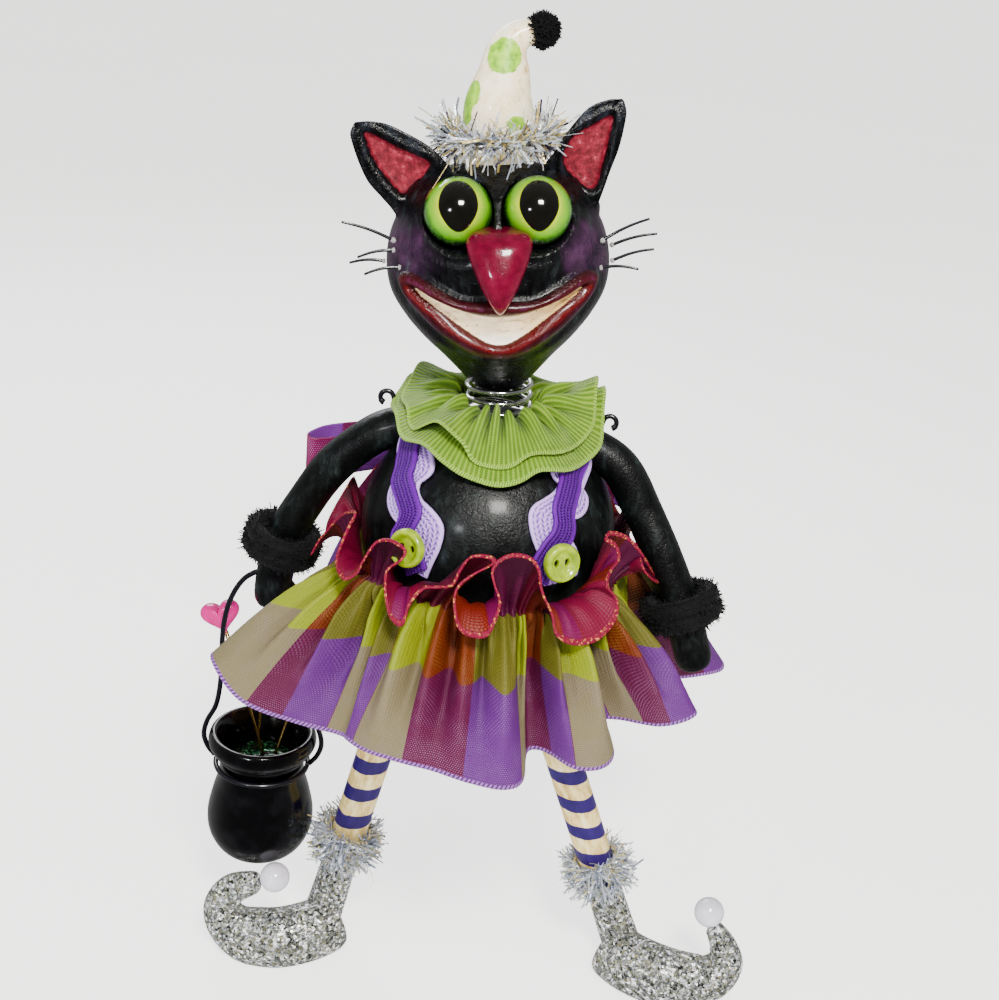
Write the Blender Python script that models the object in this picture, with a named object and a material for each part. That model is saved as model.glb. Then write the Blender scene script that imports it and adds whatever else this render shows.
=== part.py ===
# Cat art doll, standing on two curled shoes, with a spring neck and a ribbon skirt.
#
# Lengths are in metres and written as so many millimetres. +Z is up, the doll looks
# along -Y, and left and right are the viewer's left and right, seen from the front.
# The doll is laid out round its body's axis (x = 0, y = 0) with the soles on z = 0.
# At the end everything is moved so that the origin is at the middle of the bottom
# of the whole object's box.

import math

import bmesh
import bpy
import numpy as np
from mathutils import Euler, Matrix, Vector

MM = 0.001
GAP = 0.3 * MM                      # space kept between pieces that touch
LEFT, RIGHT = -1, 1
FULL_TURN = 360                     # degrees

# Body, an egg of clay
BODY_RADIUS = 29.5 * MM
BODY_RISE = 28.0 * MM               # widest level up to the top
BODY_DROP = 33.0 * MM               # widest level down to the underside
BODY_Z = 121.0 * MM

# Spring neck
WIRE_NECK = 0.6 * MM                # half the thickness of the spring's wire
NECK_RADIUS = 7.2 * MM              # axis of the spring to the middle of its wire
NECK_TURNS = 3.25

# Head, in its own frame: centre of the skull, then rolled and turned
HEAD_AT = Vector((-3.0 * MM, 0.0, 181.3 * MM))
HEAD_ROLL = math.radians(-5.5)
HEAD_TURN = math.radians(2.5)
HEAD_DEPTH = 0.89                   # front to back over side to side
FACE_SPAN = 100                     # degrees each way from the front, with the finer steps
FACE_STEPS = 24
NAPE_STEPS = 9
HEAD_LEVELS = [25.0, 24.1, 21.6, 17.0, 12.0, 7.0, 3.0, 0.0, -2.5, -5.0, -7.5, -10.0, -12.0,
               -14.0, -16.0, -18.2, -21.0, -24.6, -25.9, -26.5]
HEAD_PROFILE = [(0.0, 25.0), (6.5, 24.2), (13.0, 21.6), (18.6, 17.0), (22.6, 11.0),
                (24.2, 4.0), (23.6, -2.5), (20.8, -8.0), (16.6, -12.5), (12.0, -16.0),
                (8.9, -18.4), (7.3, -21.0), (6.6, -23.0), (5.9, -24.6), (4.4, -25.9),
                (2.2, -26.4), (0.0, -26.5)]
CHIN_LEVEL = -23.9 * MM             # where the chin sits in the spring's top turn

# Eyes, nose, ears
EYE_RADIUS = 7.2 * MM
EYE_X, EYE_Y, EYE_Z = 8.2 * MM, -13.2 * MM, 16.0 * MM
NOSE_ROWS = [(15.0, 1.5, 0.6), (14.2, 4.0, 2.4), (13.0, 5.6, 4.0), (11.0, 6.3, 5.4),
             (8.0, 5.7, 6.5), (5.0, 4.7, 7.2), (2.0, 3.4, 7.4), (-0.5, 2.2, 6.6),
             (-2.3, 1.2, 4.8), (-3.1, 0.4, 3.4)]
EAR_TIPS = {LEFT: (-30.2, 32.4), RIGHT: (26.6, 36.8)}
EAR_OUTER = {LEFT: (-21.6, 13.0), RIGHT: (21.2, 14.0)}
EAR_INNER = {LEFT: (-11.5, 25.0), RIGHT: (12.0, 26.5)}
EAR_THICK = 3.4 * MM

# Hat, tinsel and pompom, in the head's frame
HAT_ROWS = [(0.2, 25.4, 7.9), (0.4, 30.0, 7.7), (0.4, 35.6, 7.2), (1.5, 41.5, 5.6),
            (2.1, 45.8, 4.5), (3.6, 48.6, 3.6), (5.8, 50.0, 2.9), (7.9, 50.3, 2.5)]
HAT_SIDES = 12
POMPOM_RADIUS = 3.7 * MM
HAT_TINSEL_HALF = 4.5 * MM          # half the thickness of the ring of tinsel

# Whiskers: side, angle round the head from the front, level, way it points
WHISKER_RADIUS = 0.35 * MM
WHISKERS = [(LEFT, 66.0, 9.0, (-10.9, 4.4)), (LEFT, 64.0, 7.2, (-7.8, -1.2)),
            (LEFT, 79.6, 3.6, (-7.6, -0.2)), (LEFT, 56.0, 4.2, (-7.6, -1.1)),
            (RIGHT, 65.8, 8.6, (9.9, 4.9)), (RIGHT, 84.0, 6.2, (9.9, 2.5)),
            (RIGHT, 79.4, 3.2, (9.1, 2.6)), (RIGHT, 60.3, 3.4, (8.0, -0.1))]

# Collar, two gathered ribbons: level of the outer edge at angles from the front
CLOTH = 0.8 * MM                    # thickness given to each ribbon's solid
COLLAR_COLUMNS = 32
COLLAR_IN = 8.7 * MM
COLLAR_LOW_OUT = 24.2 * MM
COLLAR_TOP_OUT = 22.0 * MM
COLLAR_SPACE = 0.45 * MM
COLLAR_LOW_EDGE = [(-180, 151.5), (-150, 149.0), (-120, 152.2), (-92, 148.6), (-77, 148.6),
                   (-58, 145.6), (-41, 146.2), (-26, 144.0), (-13, 141.6), (2, 140.6),
                   (15, 141.8), (26, 144.0), (44, 143.4), (59, 143.6), (77, 146.4),
                   (88, 151.0), (104, 155.5), (122, 151.0), (150, 149.5)]
COLLAR_TOP_EDGE = [(-180, 153.5), (-150, 151.0), (-120, 155.5), (-92, 150.8), (-71, 150.4),
                   (-58, 147.2), (-37, 151.6), (-20, 149.0), (-12, 144.8), (-3, 143.8),
                   (10, 144.4), (22, 147.0), (43, 147.0), (60, 147.4), (80, 152.0),
                   (96, 158.0), (110, 157.0), (128, 152.0), (152, 151.5)]

# Arms: middle of the tube and its radius, shoulder to fingertip
ARM_RADIUS = 4.65 * MM
FINGERTIP = [(0.45, 0.8), (0.75, 0.45), (0.85, 0.1)]  # past the end and radius, in arm radii
ARM_POINTS = {
    LEFT: [(-17.5, 3.0, 143.6), (-22.5, 3.0, 142.4), (-28.6, 3.0, 139.4), (-37.2, 3.0, 131.2),
           (-43.8, 3.0, 120.6), (-48.4, 3.0, 111.0), (-50.0, 3.0, 102.0), (-50.5, 3.0, 96.6)],
    RIGHT: [(16.5, 1.0, 142.5), (22.5, 0.6, 142.2), (29.0, -0.5, 138.6), (34.9, -2.2, 129.9),
            (40.4, -5.0, 120.5), (45.6, -7.0, 110.6), (49.4, -9.0, 100.6), (50.6, -9.6, 97.2)]}
CUFF_HALF = 4.4 * MM                # half the height of the chenille ring
CUFF_WIDTH = 5.0 * MM               # how far it stands off the wrist
CUFF_AT = {LEFT: 0.765, RIGHT: 0.80}  # share of the arm's length
SHOULDER_WIRE = 0.6 * MM
SHOULDER_CURL = 1.6 * MM
SHOULDER_AT = {LEFT: 0.085, RIGHT: 0.09}

# Braces and buttons: angle round the body and height angle of each braid's middle
BRACE_THICK = 0.7 * MM
BRACE_WIDTH = {"lavender": 9.0 * MM, "purple": 5.8 * MM}
BRACE_BACK = [(70, 50), (95, 53), (118, 44), (132, 34), (140, 22), (146, 10), (148, -2)]
BRACE_FRONT = {
    (LEFT, "lavender"): [(31.2, -1), (29.2, 5), (27.2, 10.7), (26.9, 16.2), (28.7, 18.8),
                         (33.2, 21.1), (40.5, 23.8), (45.6, 28), (47.2, 33), (46.4, 41)],
    (LEFT, "purple"): [(27, -1), (29.2, 2.8), (34.3, 7.4), (37.1, 12.2), (35.9, 16.6),
                       (35.3, 22), (38, 25.6), (44.2, 30.4), (49.4, 34.1), (54.4, 41.2)],
    (RIGHT, "lavender"): [(34.3, -1), (34.7, 5.5), (33.2, 10.4), (30.3, 16.1), (28.3, 22.4),
                          (28.8, 27.9), (34.7, 30.3), (43.1, 32.6), (48.3, 36.6), (48.2, 42.8)],
    (RIGHT, "purple"): [(22, 1), (23.8, 7.2), (28.7, 14.4), (33.3, 18.9), (35.5, 23.2),
                        (36.4, 29.4), (40.1, 34.4), (44.6, 38.9), (52.3, 45.2)]}
BUTTON_RADIUS = 4.35 * MM
BUTTON_THICK = 2.6 * MM
BUTTON_HOLE = 0.65 * MM
BUTTON_PITCH = 2.6 * MM
BUTTON_AT = (30.2, 9.5)

# Skirt: angle from the front, distance from the axis and level, along three lines
WAIST_Z = 115.0 * MM
HEADER = [(-98, 33.6, 125), (-90, 33.2, 126), (-78, 36, 124), (-66, 41, 117), (-54, 41.5, 114),
          (-46, 39.5, 123), (-39, 39.4, 128.5), (-34, 39.5, 122), (-28, 40, 110.5),
          (-22, 37.5, 113), (-15, 35.5, 121),
          (-9, 35, 123), (-4, 33.5, 129), (-1, 36, 120), (3, 40, 111.5), (7, 38, 116),
          (11, 34, 129.5), (18, 34.5, 127), (24, 38, 117.5), (30, 42, 113.5), (38, 42.5, 114),
          (46, 40, 120), (53, 37, 124), (60, 41, 118), (68, 41, 116), (75, 37, 117),
          (82, 33.2, 121), (90, 32.8, 122.5), (98, 34.2, 123)]
HEADER += [(110 + 12 * k, 35.6 if k % 2 else 34.8, 118.5 if k % 2 else 127) for k in range(12)]
HEADER += [(252, 34.6, 126)]
HEM = [(-78, 39, 84), (-72, 51, 88), (-66, 63, 95), (-60, 66, 95.5), (-54, 62, 89),
       (-48, 52, 84), (-41, 45.5, 82), (-35, 46, 83), (-31.5, 50, 86), (-25, 51.5, 86),
       (-15, 51, 85.5), (-7, 50, 84.4), (2, 51, 83.2), (10, 51.8, 82.5), (15, 49, 82.5),
       (19, 41, 84.5), (24, 43, 85.5), (28, 51, 85.5), (34, 53.5, 86), (39, 51, 87.5),
       (43, 43, 89.5), (47, 45.5, 90.5), (51, 55, 92), (57, 59.5, 94.5), (62, 52, 94),
       (67, 41, 91), (77, 37, 88), (87, 41, 85), (93, 55, 85), (98, 62, 84.5), (104, 61, 85),
       (112, 48, 84.5), (118, 43, 84)]
HEM += [(132 + 16 * k, 44 if k % 2 else 57, 84 if k % 2 else 85) for k in range(8)]
HEM += [(260, 34.8, 84), (272, 34.8, 84)]

# Bow behind the waist: one loop's line in plan, and its levels
BOW_LOOP = [(3.4, 40.6), (15.0, 44.0), (29.0, 40.5), (40.0, 32.0), (44.8, 24.0),
            (43.6, 20.2), (39.6, 22.4), (30.0, 31.0), (17.0, 37.8), (3.4, 38.8)]
BOW_REACH = {LEFT: 1.03, RIGHT: 0.78}
BOW_Z = 123.0 * MM
BOW_HALF = 3.6 * MM                 # half the ribbon's height at the knot
BOW_FLARE = 1.8 * MM                # what that half grows by at the loop's end

# Legs, dowels on slanting axes: a point on the axis and its slope in x
LEG_RADIUS = 4.45 * MM
LEG_POINT = {LEFT: (-23.0 * MM, 56.1 * MM), RIGHT: (24.5 * MM, 58.8 * MM)}
LEG_SLOPE = {LEFT: 0.2186, RIGHT: -0.393}
LEG_TOP = 100.0 * MM
LEG_FOOT = 24.0 * MM
ANKLE_TINSEL_Z = {LEFT: 29.4 * MM, RIGHT: 28.2 * MM}
ANKLE_TINSEL_HALF = 5.6 * MM
ANKLE_TINSEL_WIDTH = 4.4 * MM

# Shoes: middle of the foot and its radius, from heel to the curled toe
SHOE_POINTS = {
    LEFT: [(-29.6, -0.6, 5.4, 5.2), (-31.8, -2.4, 4.9, 7.3), (-36.5, -6.8, 4.8, 7.7),
           (-43.5, -10.4, 4.8, 7.7), (-51.0, -10.4, 4.8, 7.2), (-56.6, -9.2, 7.0, 5.8),
           (-58.8, -8.8, 12.0, 4.6), (-56.4, -8.7, 17.0, 4.0), (-51.9, -8.9, 19.6, 3.2),
           (-49.0, -9.1, 20.4, 2.4)],
    RIGHT: [(40.6, -0.6, 5.4, 5.2), (42.8, -2.4, 4.9, 7.3), (47.2, -7.0, 4.8, 7.7),
            (53.8, -10.6, 4.8, 7.7), (61.0, -11.4, 4.7, 7.0), (67.6, -10.6, 5.6, 5.8),
            (70.9, -9.8, 9.6, 4.7), (70.0, -9.4, 14.4, 3.6), (67.9, -9.2, 18.2, 2.7),
            (66.2, -9.1, 20.4, 2.2)]}
BEAD_RADIUS = 3.75 * MM
BEAD_REACH = {LEFT: (0.83, -0.1, 0.55), RIGHT: (-0.3, 0.0, 0.954)}

# Cauldron, bail, brew and pins
CAULDRON_AT = Vector((-51.7 * MM, 3.0 * MM, 22.1 * MM))
CAULDRON_OUT = [(0.0, 0.0), (5.6, 0.3), (10.2, 2.6), (12.9, 7.2), (13.4, 12.4), (12.3, 18.2),
                (10.9, 23.4), (10.6, 28.2), (12.3, 30.4), (13.5, 32.8), (13.1, 35.0)]
CAULDRON_RIM = [(12.2, 35.7), (11.3, 35.0)]
CAULDRON_IN = [(9.6, 31.6), (8.8, 28.0), (9.2, 23.6), (10.7, 18.0), (11.7, 12.4),
               (11.2, 8.0), (8.6, 4.2), (0.0, 2.2)]
BREW_LEVEL = 27.4 * MM
BAIL_RADIUS = 0.9 * MM
BAIL_SIDE = [(12.1, 27.2), (13.9, 29.6), (14.9, 33.0), (14.1, 37.0), (12.0, 41.6),
             (11.0, 48.0), (10.8, 56.0), (10.5, 64.0), (9.1, 71.0), (6.4, 76.6), (3.2, 79.4)]
BAIL_TOP = 80.2 * MM
PIN_RADIUS = 0.55 * MM
HEART_HALF = 5.0 * MM
HEART_THICK = 2.6 * MM
PINS = {"left": ((-51.6, 4.2, 50.0), (-62.2, 8.2, 80.8)),
        "middle": ((-53.6, 6.4, 50.0), (-53.4, 13.4, 71.5)),
        "right": ((-48.6, 4.6, 50.0), (-42.6, 12.8, 71.5))}

# Colours: linear red, green, blue
BLACK = (0.008, 0.009, 0.011)
PURPLE = (0.11, 0.008, 0.37)
LAVENDER = (0.55, 0.40, 0.85)
LIME = (0.42, 0.62, 0.02)
LEAF = (0.28, 0.50, 0.09)
CREAM = (0.80, 0.68, 0.38)
BERRY = (0.42, 0.02, 0.12)
PLUM = (0.35, 0.03, 0.16)
SILVER = (0.55, 0.55, 0.52)
GOLD = (0.75, 0.55, 0.22)
PINK = (0.85, 0.03, 0.28)
WHITE = (0.85, 0.84, 0.86)
GREEN = (0.01, 0.22, 0.06)


def clear_scene():
    for item in list(bpy.data.objects):
        bpy.data.objects.remove(item, do_unlink=True)


def finish_for(name, colour, roughness, metallic=0.0):
    """One Principled material per finish, shared by the pieces that have it."""
    found = bpy.data.materials.get(name)
    if found:
        return found
    made = bpy.data.materials.new(name)
    made.use_nodes = True
    shader = made.node_tree.nodes["Principled BSDF"]
    shader.inputs["Base Color"].default_value = (*colour, 1.0)
    shader.inputs["Roughness"].default_value = roughness
    shader.inputs["Metallic"].default_value = metallic
    return made


def add_piece(name, mesh, finish, parent, helper=False):
    piece = bpy.data.objects.new(name, mesh)
    bpy.context.collection.objects.link(piece)
    piece.parent = parent
    mesh.materials.append(finish)
    if helper:
        put_away(piece)
    return piece


def closed_mesh(name, points, faces):
    """A mesh from points and faces, with its faces turned outwards."""
    mesh = bpy.data.meshes.new(name)
    mesh.from_pydata([tuple(p) for p in points], [], faces)
    shape = bmesh.new()
    shape.from_mesh(mesh)
    bmesh.ops.recalc_face_normals(shape, faces=shape.faces)
    shape.to_mesh(mesh)
    shape.free()
    mesh.shade_smooth()
    mesh.set_sharp_from_angle(angle=math.radians(50))
    return mesh


def ring_faces(rings, sides, closed=False):
    """Quads between rings of points; the end rings are capped, or joined."""
    faces = []
    last = rings if closed else rings - 1
    for r in range(last):
        a, b = r * sides, ((r + 1) % rings) * sides
        for s in range(sides):
            t = (s + 1) % sides
            faces.append((a + s, a + t, b + t, b + s))
    if not closed:
        faces.append(tuple(range(sides)))
        faces.append(tuple((rings - 1) * sides + s for s in range(sides)))
    return faces


def smooth_line(points, steps, closed=False):
    """Points of a Catmull-Rom curve through the given ones, `steps` to each span."""
    p = np.array(points, dtype=float)
    if closed:
        p = np.vstack([p[-1:], p, p[:2]])
    else:
        p = np.vstack([2 * p[0] - p[1], p, 2 * p[-1] - p[-2]])
    out = []
    for i in range(1, len(p) - 2):
        for k in range(steps):
            t = k / steps
            out.append(0.5 * (2 * p[i] + (p[i + 1] - p[i - 1]) * t
                              + (2 * p[i - 1] - 5 * p[i] + 4 * p[i + 1] - p[i + 2]) * t * t
                              + (3 * p[i] - p[i - 1] - 3 * p[i + 1] + p[i + 2]) * t ** 3))
    if not closed:
        out.append(p[-2])
    return np.array(out)


def round_sweep(points, radii, sides, closed=False):
    """Rings of points round a line: each ring lies square to the line there."""
    points = np.array(points, dtype=float)
    if closed:
        ahead, behind = np.roll(points, -1, axis=0), np.roll(points, 1, axis=0)
    else:
        ahead = np.vstack([points[1:], points[-1:]])
        behind = np.vstack([points[:1], points[:-1]])
    way = ahead - behind
    way /= np.linalg.norm(way, axis=1)[:, None]
    side = np.cross(way[0], (0.0, 1.0, 0.0))
    if np.linalg.norm(side) < 0.1:
        side = np.cross(way[0], (1.0, 0.0, 0.0))
    rings = []
    for point, tangent, radius in zip(points, way, radii):
        side = side - tangent * (side @ tangent)
        side /= np.linalg.norm(side)
        up = np.cross(tangent, side)
        turn = np.arange(sides) * 2 * math.pi / sides
        rings.append(point + radius * (np.cos(turn)[:, None] * side + np.sin(turn)[:, None] * up))
    return np.vstack(rings), ring_faces(len(points), sides, closed)


def tube_curve(name, points, radius, finish, parent, resolution=1, cyclic=False):
    """A wire as a bevelled curve with filled ends."""
    curve = bpy.data.curves.new(name, "CURVE")
    curve.dimensions = "3D"
    curve.bevel_depth = radius
    curve.bevel_resolution = resolution
    curve.use_fill_caps = True
    line = curve.splines.new("POLY")
    line.points.add(len(points) - 1)
    for knot, point in zip(line.points, points):
        knot.co = (*point, 1.0)
    line.use_cyclic_u = cyclic
    piece = bpy.data.objects.new(name, curve)
    bpy.context.collection.objects.link(piece)
    piece.parent = parent
    curve.materials.append(finish)
    return piece


def turned(name, profile, sides, finish, parent, helper=False):
    """A profile of (radius, level) pairs turned about Z; it starts and ends on the axis."""
    points = []
    faces = []
    rows = []
    for radius, level in profile:
        if radius <= 1e-6:
            rows.append([len(points)])
            points.append((0.0, 0.0, level))
            continue
        rows.append(list(range(len(points), len(points) + sides)))
        for s in range(sides):
            turn = s * 2 * math.pi / sides
            points.append((radius * math.cos(turn), radius * math.sin(turn), level))
    for a, b in zip(rows, rows[1:]):
        for s in range(sides):
            t = (s + 1) % sides
            if len(a) == 1:
                faces.append((a[0], b[s], b[t]))
            elif len(b) == 1:
                faces.append((a[s], b[0], a[t]))
            else:
                faces.append((a[s], b[s], b[t], a[t]))
    return add_piece(name, closed_mesh(name, points, faces), finish, parent, helper)


def ball(name, radius, centre, finish, parent, segments=16, rings=10, helper=False):
    shape = bmesh.new()
    bmesh.ops.create_uvsphere(shape, u_segments=segments, v_segments=rings, radius=radius)
    mesh = bpy.data.meshes.new(name)
    shape.to_mesh(mesh)
    shape.free()
    mesh.shade_smooth()
    piece = add_piece(name, mesh, finish, parent, helper)
    piece.location = centre
    return piece


def put_away(piece):
    """Marks a solid that only shapes others: it is no piece of the doll itself."""
    piece.hide_render = True
    piece.display_type = "WIRE"


def combine(piece, tool, operation):
    change = piece.modifiers.new(tool.name, "BOOLEAN")
    change.operation = operation
    change.solver = "EXACT"
    change.object = tool


def cloth_solid(name, sheet, wraps, finish, parent, thickness=CLOTH):
    """A closed slab from a grid of points: the sheet moved half its thickness each way."""
    rows, cols = sheet.shape[:2]
    if wraps:
        across = np.roll(sheet, -1, axis=1) - np.roll(sheet, 1, axis=1)
    else:
        across = np.gradient(sheet, axis=1)
    normal = np.cross(across, np.gradient(sheet, axis=0))
    normal /= np.linalg.norm(normal, axis=2)[:, :, None]
    points = np.concatenate([(sheet + normal * thickness / 2).reshape(-1, 3),
                             (sheet - normal * thickness / 2).reshape(-1, 3)])
    count = rows * cols
    faces = []
    spans = cols if wraps else cols - 1
    for r in range(rows - 1):
        for c in range(spans):
            d = (c + 1) % cols
            a, b, e, f = r * cols + c, r * cols + d, (r + 1) * cols + d, (r + 1) * cols + c
            faces += [(a, b, e, f), (count + f, count + e, count + b, count + a)]
    for c in range(spans):
        d = (c + 1) % cols
        faces.append((c, count + c, count + d, d))
        top = (rows - 1) * cols
        faces.append((top + d, count + top + d, count + top + c, top + c))
    if not wraps:
        for r in range(rows - 1):
            a, b = r * cols, (r + 1) * cols
            faces.append((a, b, count + b, count + a))
            a, b = a + cols - 1, b + cols - 1
            faces.append((b, a, count + a, count + b))
    return add_piece(name, closed_mesh(name, points, faces), finish, parent)


def body_height(distance):
    """Level of the body's upper surface at a distance from its axis."""
    return BODY_Z + BODY_RISE * math.sqrt(max(0.0, 1 - (distance / BODY_RADIUS) ** 2))


def body_point(angle, rise, off):
    """A point `off` outside the body, at an angle from the front and a height angle."""
    a, e = np.radians(angle), np.radians(rise)
    drop = np.where(np.asarray(e) < 0, BODY_DROP, BODY_RISE)
    radius = BODY_RADIUS + off
    return np.stack([radius * np.cos(e) * np.sin(a), -radius * np.cos(e) * np.cos(a),
                     BODY_Z + (drop + off) * np.sin(e)], axis=-1)


def polar(angle, radius, level):
    """World points from an angle from the front in degrees, a radius and a level."""
    a = np.radians(angle)
    return np.stack([radius * np.sin(a), -radius * np.cos(a), level], axis=-1)


def leg_point(side, level):
    x, z = LEG_POINT[side]
    return Vector((x + LEG_SLOPE[side] * (level - z), 0.0, level))


# The head's surface, in the head's own frame

def head_profile(steps):
    """Half width and level down the head, on a smooth curve through HEAD_PROFILE."""
    return smooth_line(HEAD_PROFILE, steps) * MM


def upper_lip(x):
    """Level of the upper lip's middle in millimetres: a shallow parabola."""
    s = np.abs(x)
    return -2.7 + 0.0163 * s ** 2 - 0.35 * np.clip(s - 17.5, 0, 4) ** 1.5


def lower_lip(x):
    """Level of the lower lip's middle in millimetres: a rounded V, a hyperbola."""
    return -13.3 + 0.68 * (np.sqrt(x ** 2 + 4) - 2)


def face_relief(x, y, z):
    """How far the face stands out, in millimetres, at a place on the plain head."""
    front = np.clip(-y / 12.0, 0, 1)
    inside = 1 / (1 + np.exp((np.abs(x) - 20.8) / 0.5))
    top, bottom = upper_lip(x), lower_lip(x)
    jaw = 3.0 * np.exp(-((x / 13) ** 2 + ((z + 12.5) / 6) ** 2))
    lips = (1.7 * np.exp(-((z - top) / 1.8) ** 2) + 2.0 * np.exp(-((z - bottom) / 2.2) ** 2))
    between = 1 / (1 + np.exp((z - top + 1.6) / 0.35)) / (1 + np.exp((bottom + 2.0 - z) / 0.35))
    return front * (jaw + inside * (lips - 1.0 * between))


def head_surface(turn, width, level):
    """Points of the head at angles from its front, for a half width and a level."""
    x = width * np.sin(turn)
    y = -width * np.cos(turn) * HEAD_DEPTH
    out = face_relief(x / MM, y / MM, level / MM) * MM
    length = np.maximum(np.hypot(x, y), 1e-9)
    return np.stack([x + out * x / length, y + out * y / length, level + 0 * x], axis=-1)


def build_head(frame):
    """Skull, ears and nose as one piece of clay, with sockets for the eyes."""
    clay = finish_for("black_clay", BLACK, 0.35)
    turns = np.concatenate([np.linspace(-FACE_SPAN, FACE_SPAN, FACE_STEPS + 1),
                            np.linspace(FACE_SPAN, FULL_TURN - FACE_SPAN,
                                        NAPE_STEPS + 1)[1:-1]])
    widths, levels = head_profile(6).T
    line = [(np.interp(-z * MM, -levels, widths), z * MM) for z in HEAD_LEVELS]
    sides = len(turns)
    points = []
    faces = []
    rows = []
    for width, level in line:
        if width < 1e-6:
            rows.append([len(points)])
            points.append((0.0, 0.0, level))
            continue
        rows.append(list(range(len(points), len(points) + sides)))
        points += [tuple(p) for p in head_surface(np.radians(turns), width, level)]
    for a, b in zip(rows, rows[1:]):
        for s in range(sides):
            t = (s + 1) % sides
            if len(a) == 1:
                faces.append((a[0], b[s], b[t]))
            elif len(b) == 1:
                faces.append((a[s], b[0], a[t]))
            else:
                faces.append((a[s], b[s], b[t], a[t]))
    head = add_piece("head", closed_mesh("head", points, faces), clay, frame)
    for side, word in ((LEFT, "left"), (RIGHT, "right")):
        combine(head, build_ear(side, word, frame, clay), "UNION")
    combine(head, build_nose(frame, clay), "UNION")
    for side, word in ((LEFT, "left"), (RIGHT, "right")):
        place = (side * EYE_X, EYE_Y, EYE_Z)
        socket = ball(word + "_socket", EYE_RADIUS + GAP, place, clay, frame, 14, 10, True)
        combine(head, socket, "DIFFERENCE")
        eye = ball(word + "_eye", EYE_RADIUS, place, finish_for("lime_eye", LIME, 0.05), frame,
                   14, 9)
        eye.rotation_euler = (math.radians(90), 0, 0)
    return head


def build_ear(side, word, frame, clay):
    """A pointed leaf, cupped towards the front, that narrows to its tip."""
    outer, inner, tip = (np.array(d[side]) * MM for d in (EAR_OUTER, EAR_INNER, EAR_TIPS))
    middle, half = (outer + inner) / 2, (inner - outer) / 2
    levels = np.array([-0.1, 0.2, 0.42, 0.62, 0.8, 0.93, 1.0])
    shares = np.array([-1.0, -0.55, 0.0, 0.55, 1.0])
    points = []
    for v in levels:
        width = max(0.0, 1 - max(v, 0.0)) ** 0.72 * 0.97 + 0.06
        centre = middle + (tip - middle) * v
        thick = EAR_THICK * (1 - 0.45 * v)
        for face in (-1, 1):
            for u in (shares if face < 0 else shares[::-1]):
                x, z = centre + half * u * width
                bulge = thick * (0.5 if face > 0 else 0.5 - 0.9 * (1 - u * u))
                y = -1.8 * MM - 3.4 * MM * u * u * width + face * bulge
                points.append((x, y + face * 0.25 * MM, z))
    mesh = closed_mesh(word + "_ear", points, ring_faces(len(levels), 2 * len(shares)))
    return add_piece(word + "_ear", mesh, clay, frame, helper=True)


def build_nose(frame, clay):
    """A long pick-shaped nose: half ellipses that stand on the front of the face."""
    widths, levels = head_profile(6).T
    sides = 10
    points = []
    for level, half, out in NOSE_ROWS:
        depth = -HEAD_DEPTH * np.interp(-level * MM, -levels, widths)
        for s in range(sides):
            turn = s * 2 * math.pi / sides
            reach = out if math.sin(turn) > 0 else 2.4
            points.append((half * MM * math.cos(turn), depth - reach * MM * math.sin(turn),
                           level * MM))
    mesh = closed_mesh("nose", points, ring_faces(len(NOSE_ROWS), sides))
    return add_piece("nose", mesh, clay, frame, helper=True)


def build_whiskers(frame):
    """Eight stiff bristles, each from its place on the cheek."""
    widths, levels = head_profile(6).T
    wire = finish_for("whisker_wire", (0.01, 0.01, 0.03), 0.4)
    for number, (side, angle, level, way) in enumerate(WHISKERS):
        width = np.interp(-level * MM, -levels, widths)
        turn = side * math.radians(angle)
        root = Vector(head_surface(turn, width, level * MM))
        out = Vector((math.sin(turn), -math.cos(turn), 0.0))
        root += out * (WHISKER_RADIUS + GAP)
        tip = root + Vector((way[0], 0.0, way[1])) * MM
        word = "left" if side == LEFT else "right"
        tube_curve(f"{word}_whisker_{number % 4 + 1}", [root, tip], WHISKER_RADIUS, wire, frame, 0)


def build_hat(frame):
    """A bent cone of clay, its ring of tinsel and the ball on its tip."""
    line = [(x * MM, 0.0, z * MM) for x, z, r in HAT_ROWS]
    points, faces = round_sweep(line, [r * MM for x, z, r in HAT_ROWS], HAT_SIDES)
    points[:HAT_SIDES, 2] = HAT_ROWS[0][1] * MM
    add_piece("hat", closed_mesh("hat", points, faces), finish_for("cream_clay", CREAM, 0.5),
              frame)
    end = Vector(line[-1])
    way = (end - Vector(line[-2])).normalized()
    ball("hat_pompom", POMPOM_RADIUS, end + way * (POMPOM_RADIUS + 0.5 * MM),
         finish_for("black_fluff", BLACK, 0.9), frame, 10, 7)
    inner = HAT_ROWS[0][2] * MM + GAP
    fluffy_ring("hat_tinsel", inner, HAT_TINSEL_HALF, HAT_TINSEL_HALF * 0.78,
                (0.4 * MM, 0.0, 29.9 * MM), (0, 0, 1), 18, "tinsel", frame, pinch=0.4)


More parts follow.
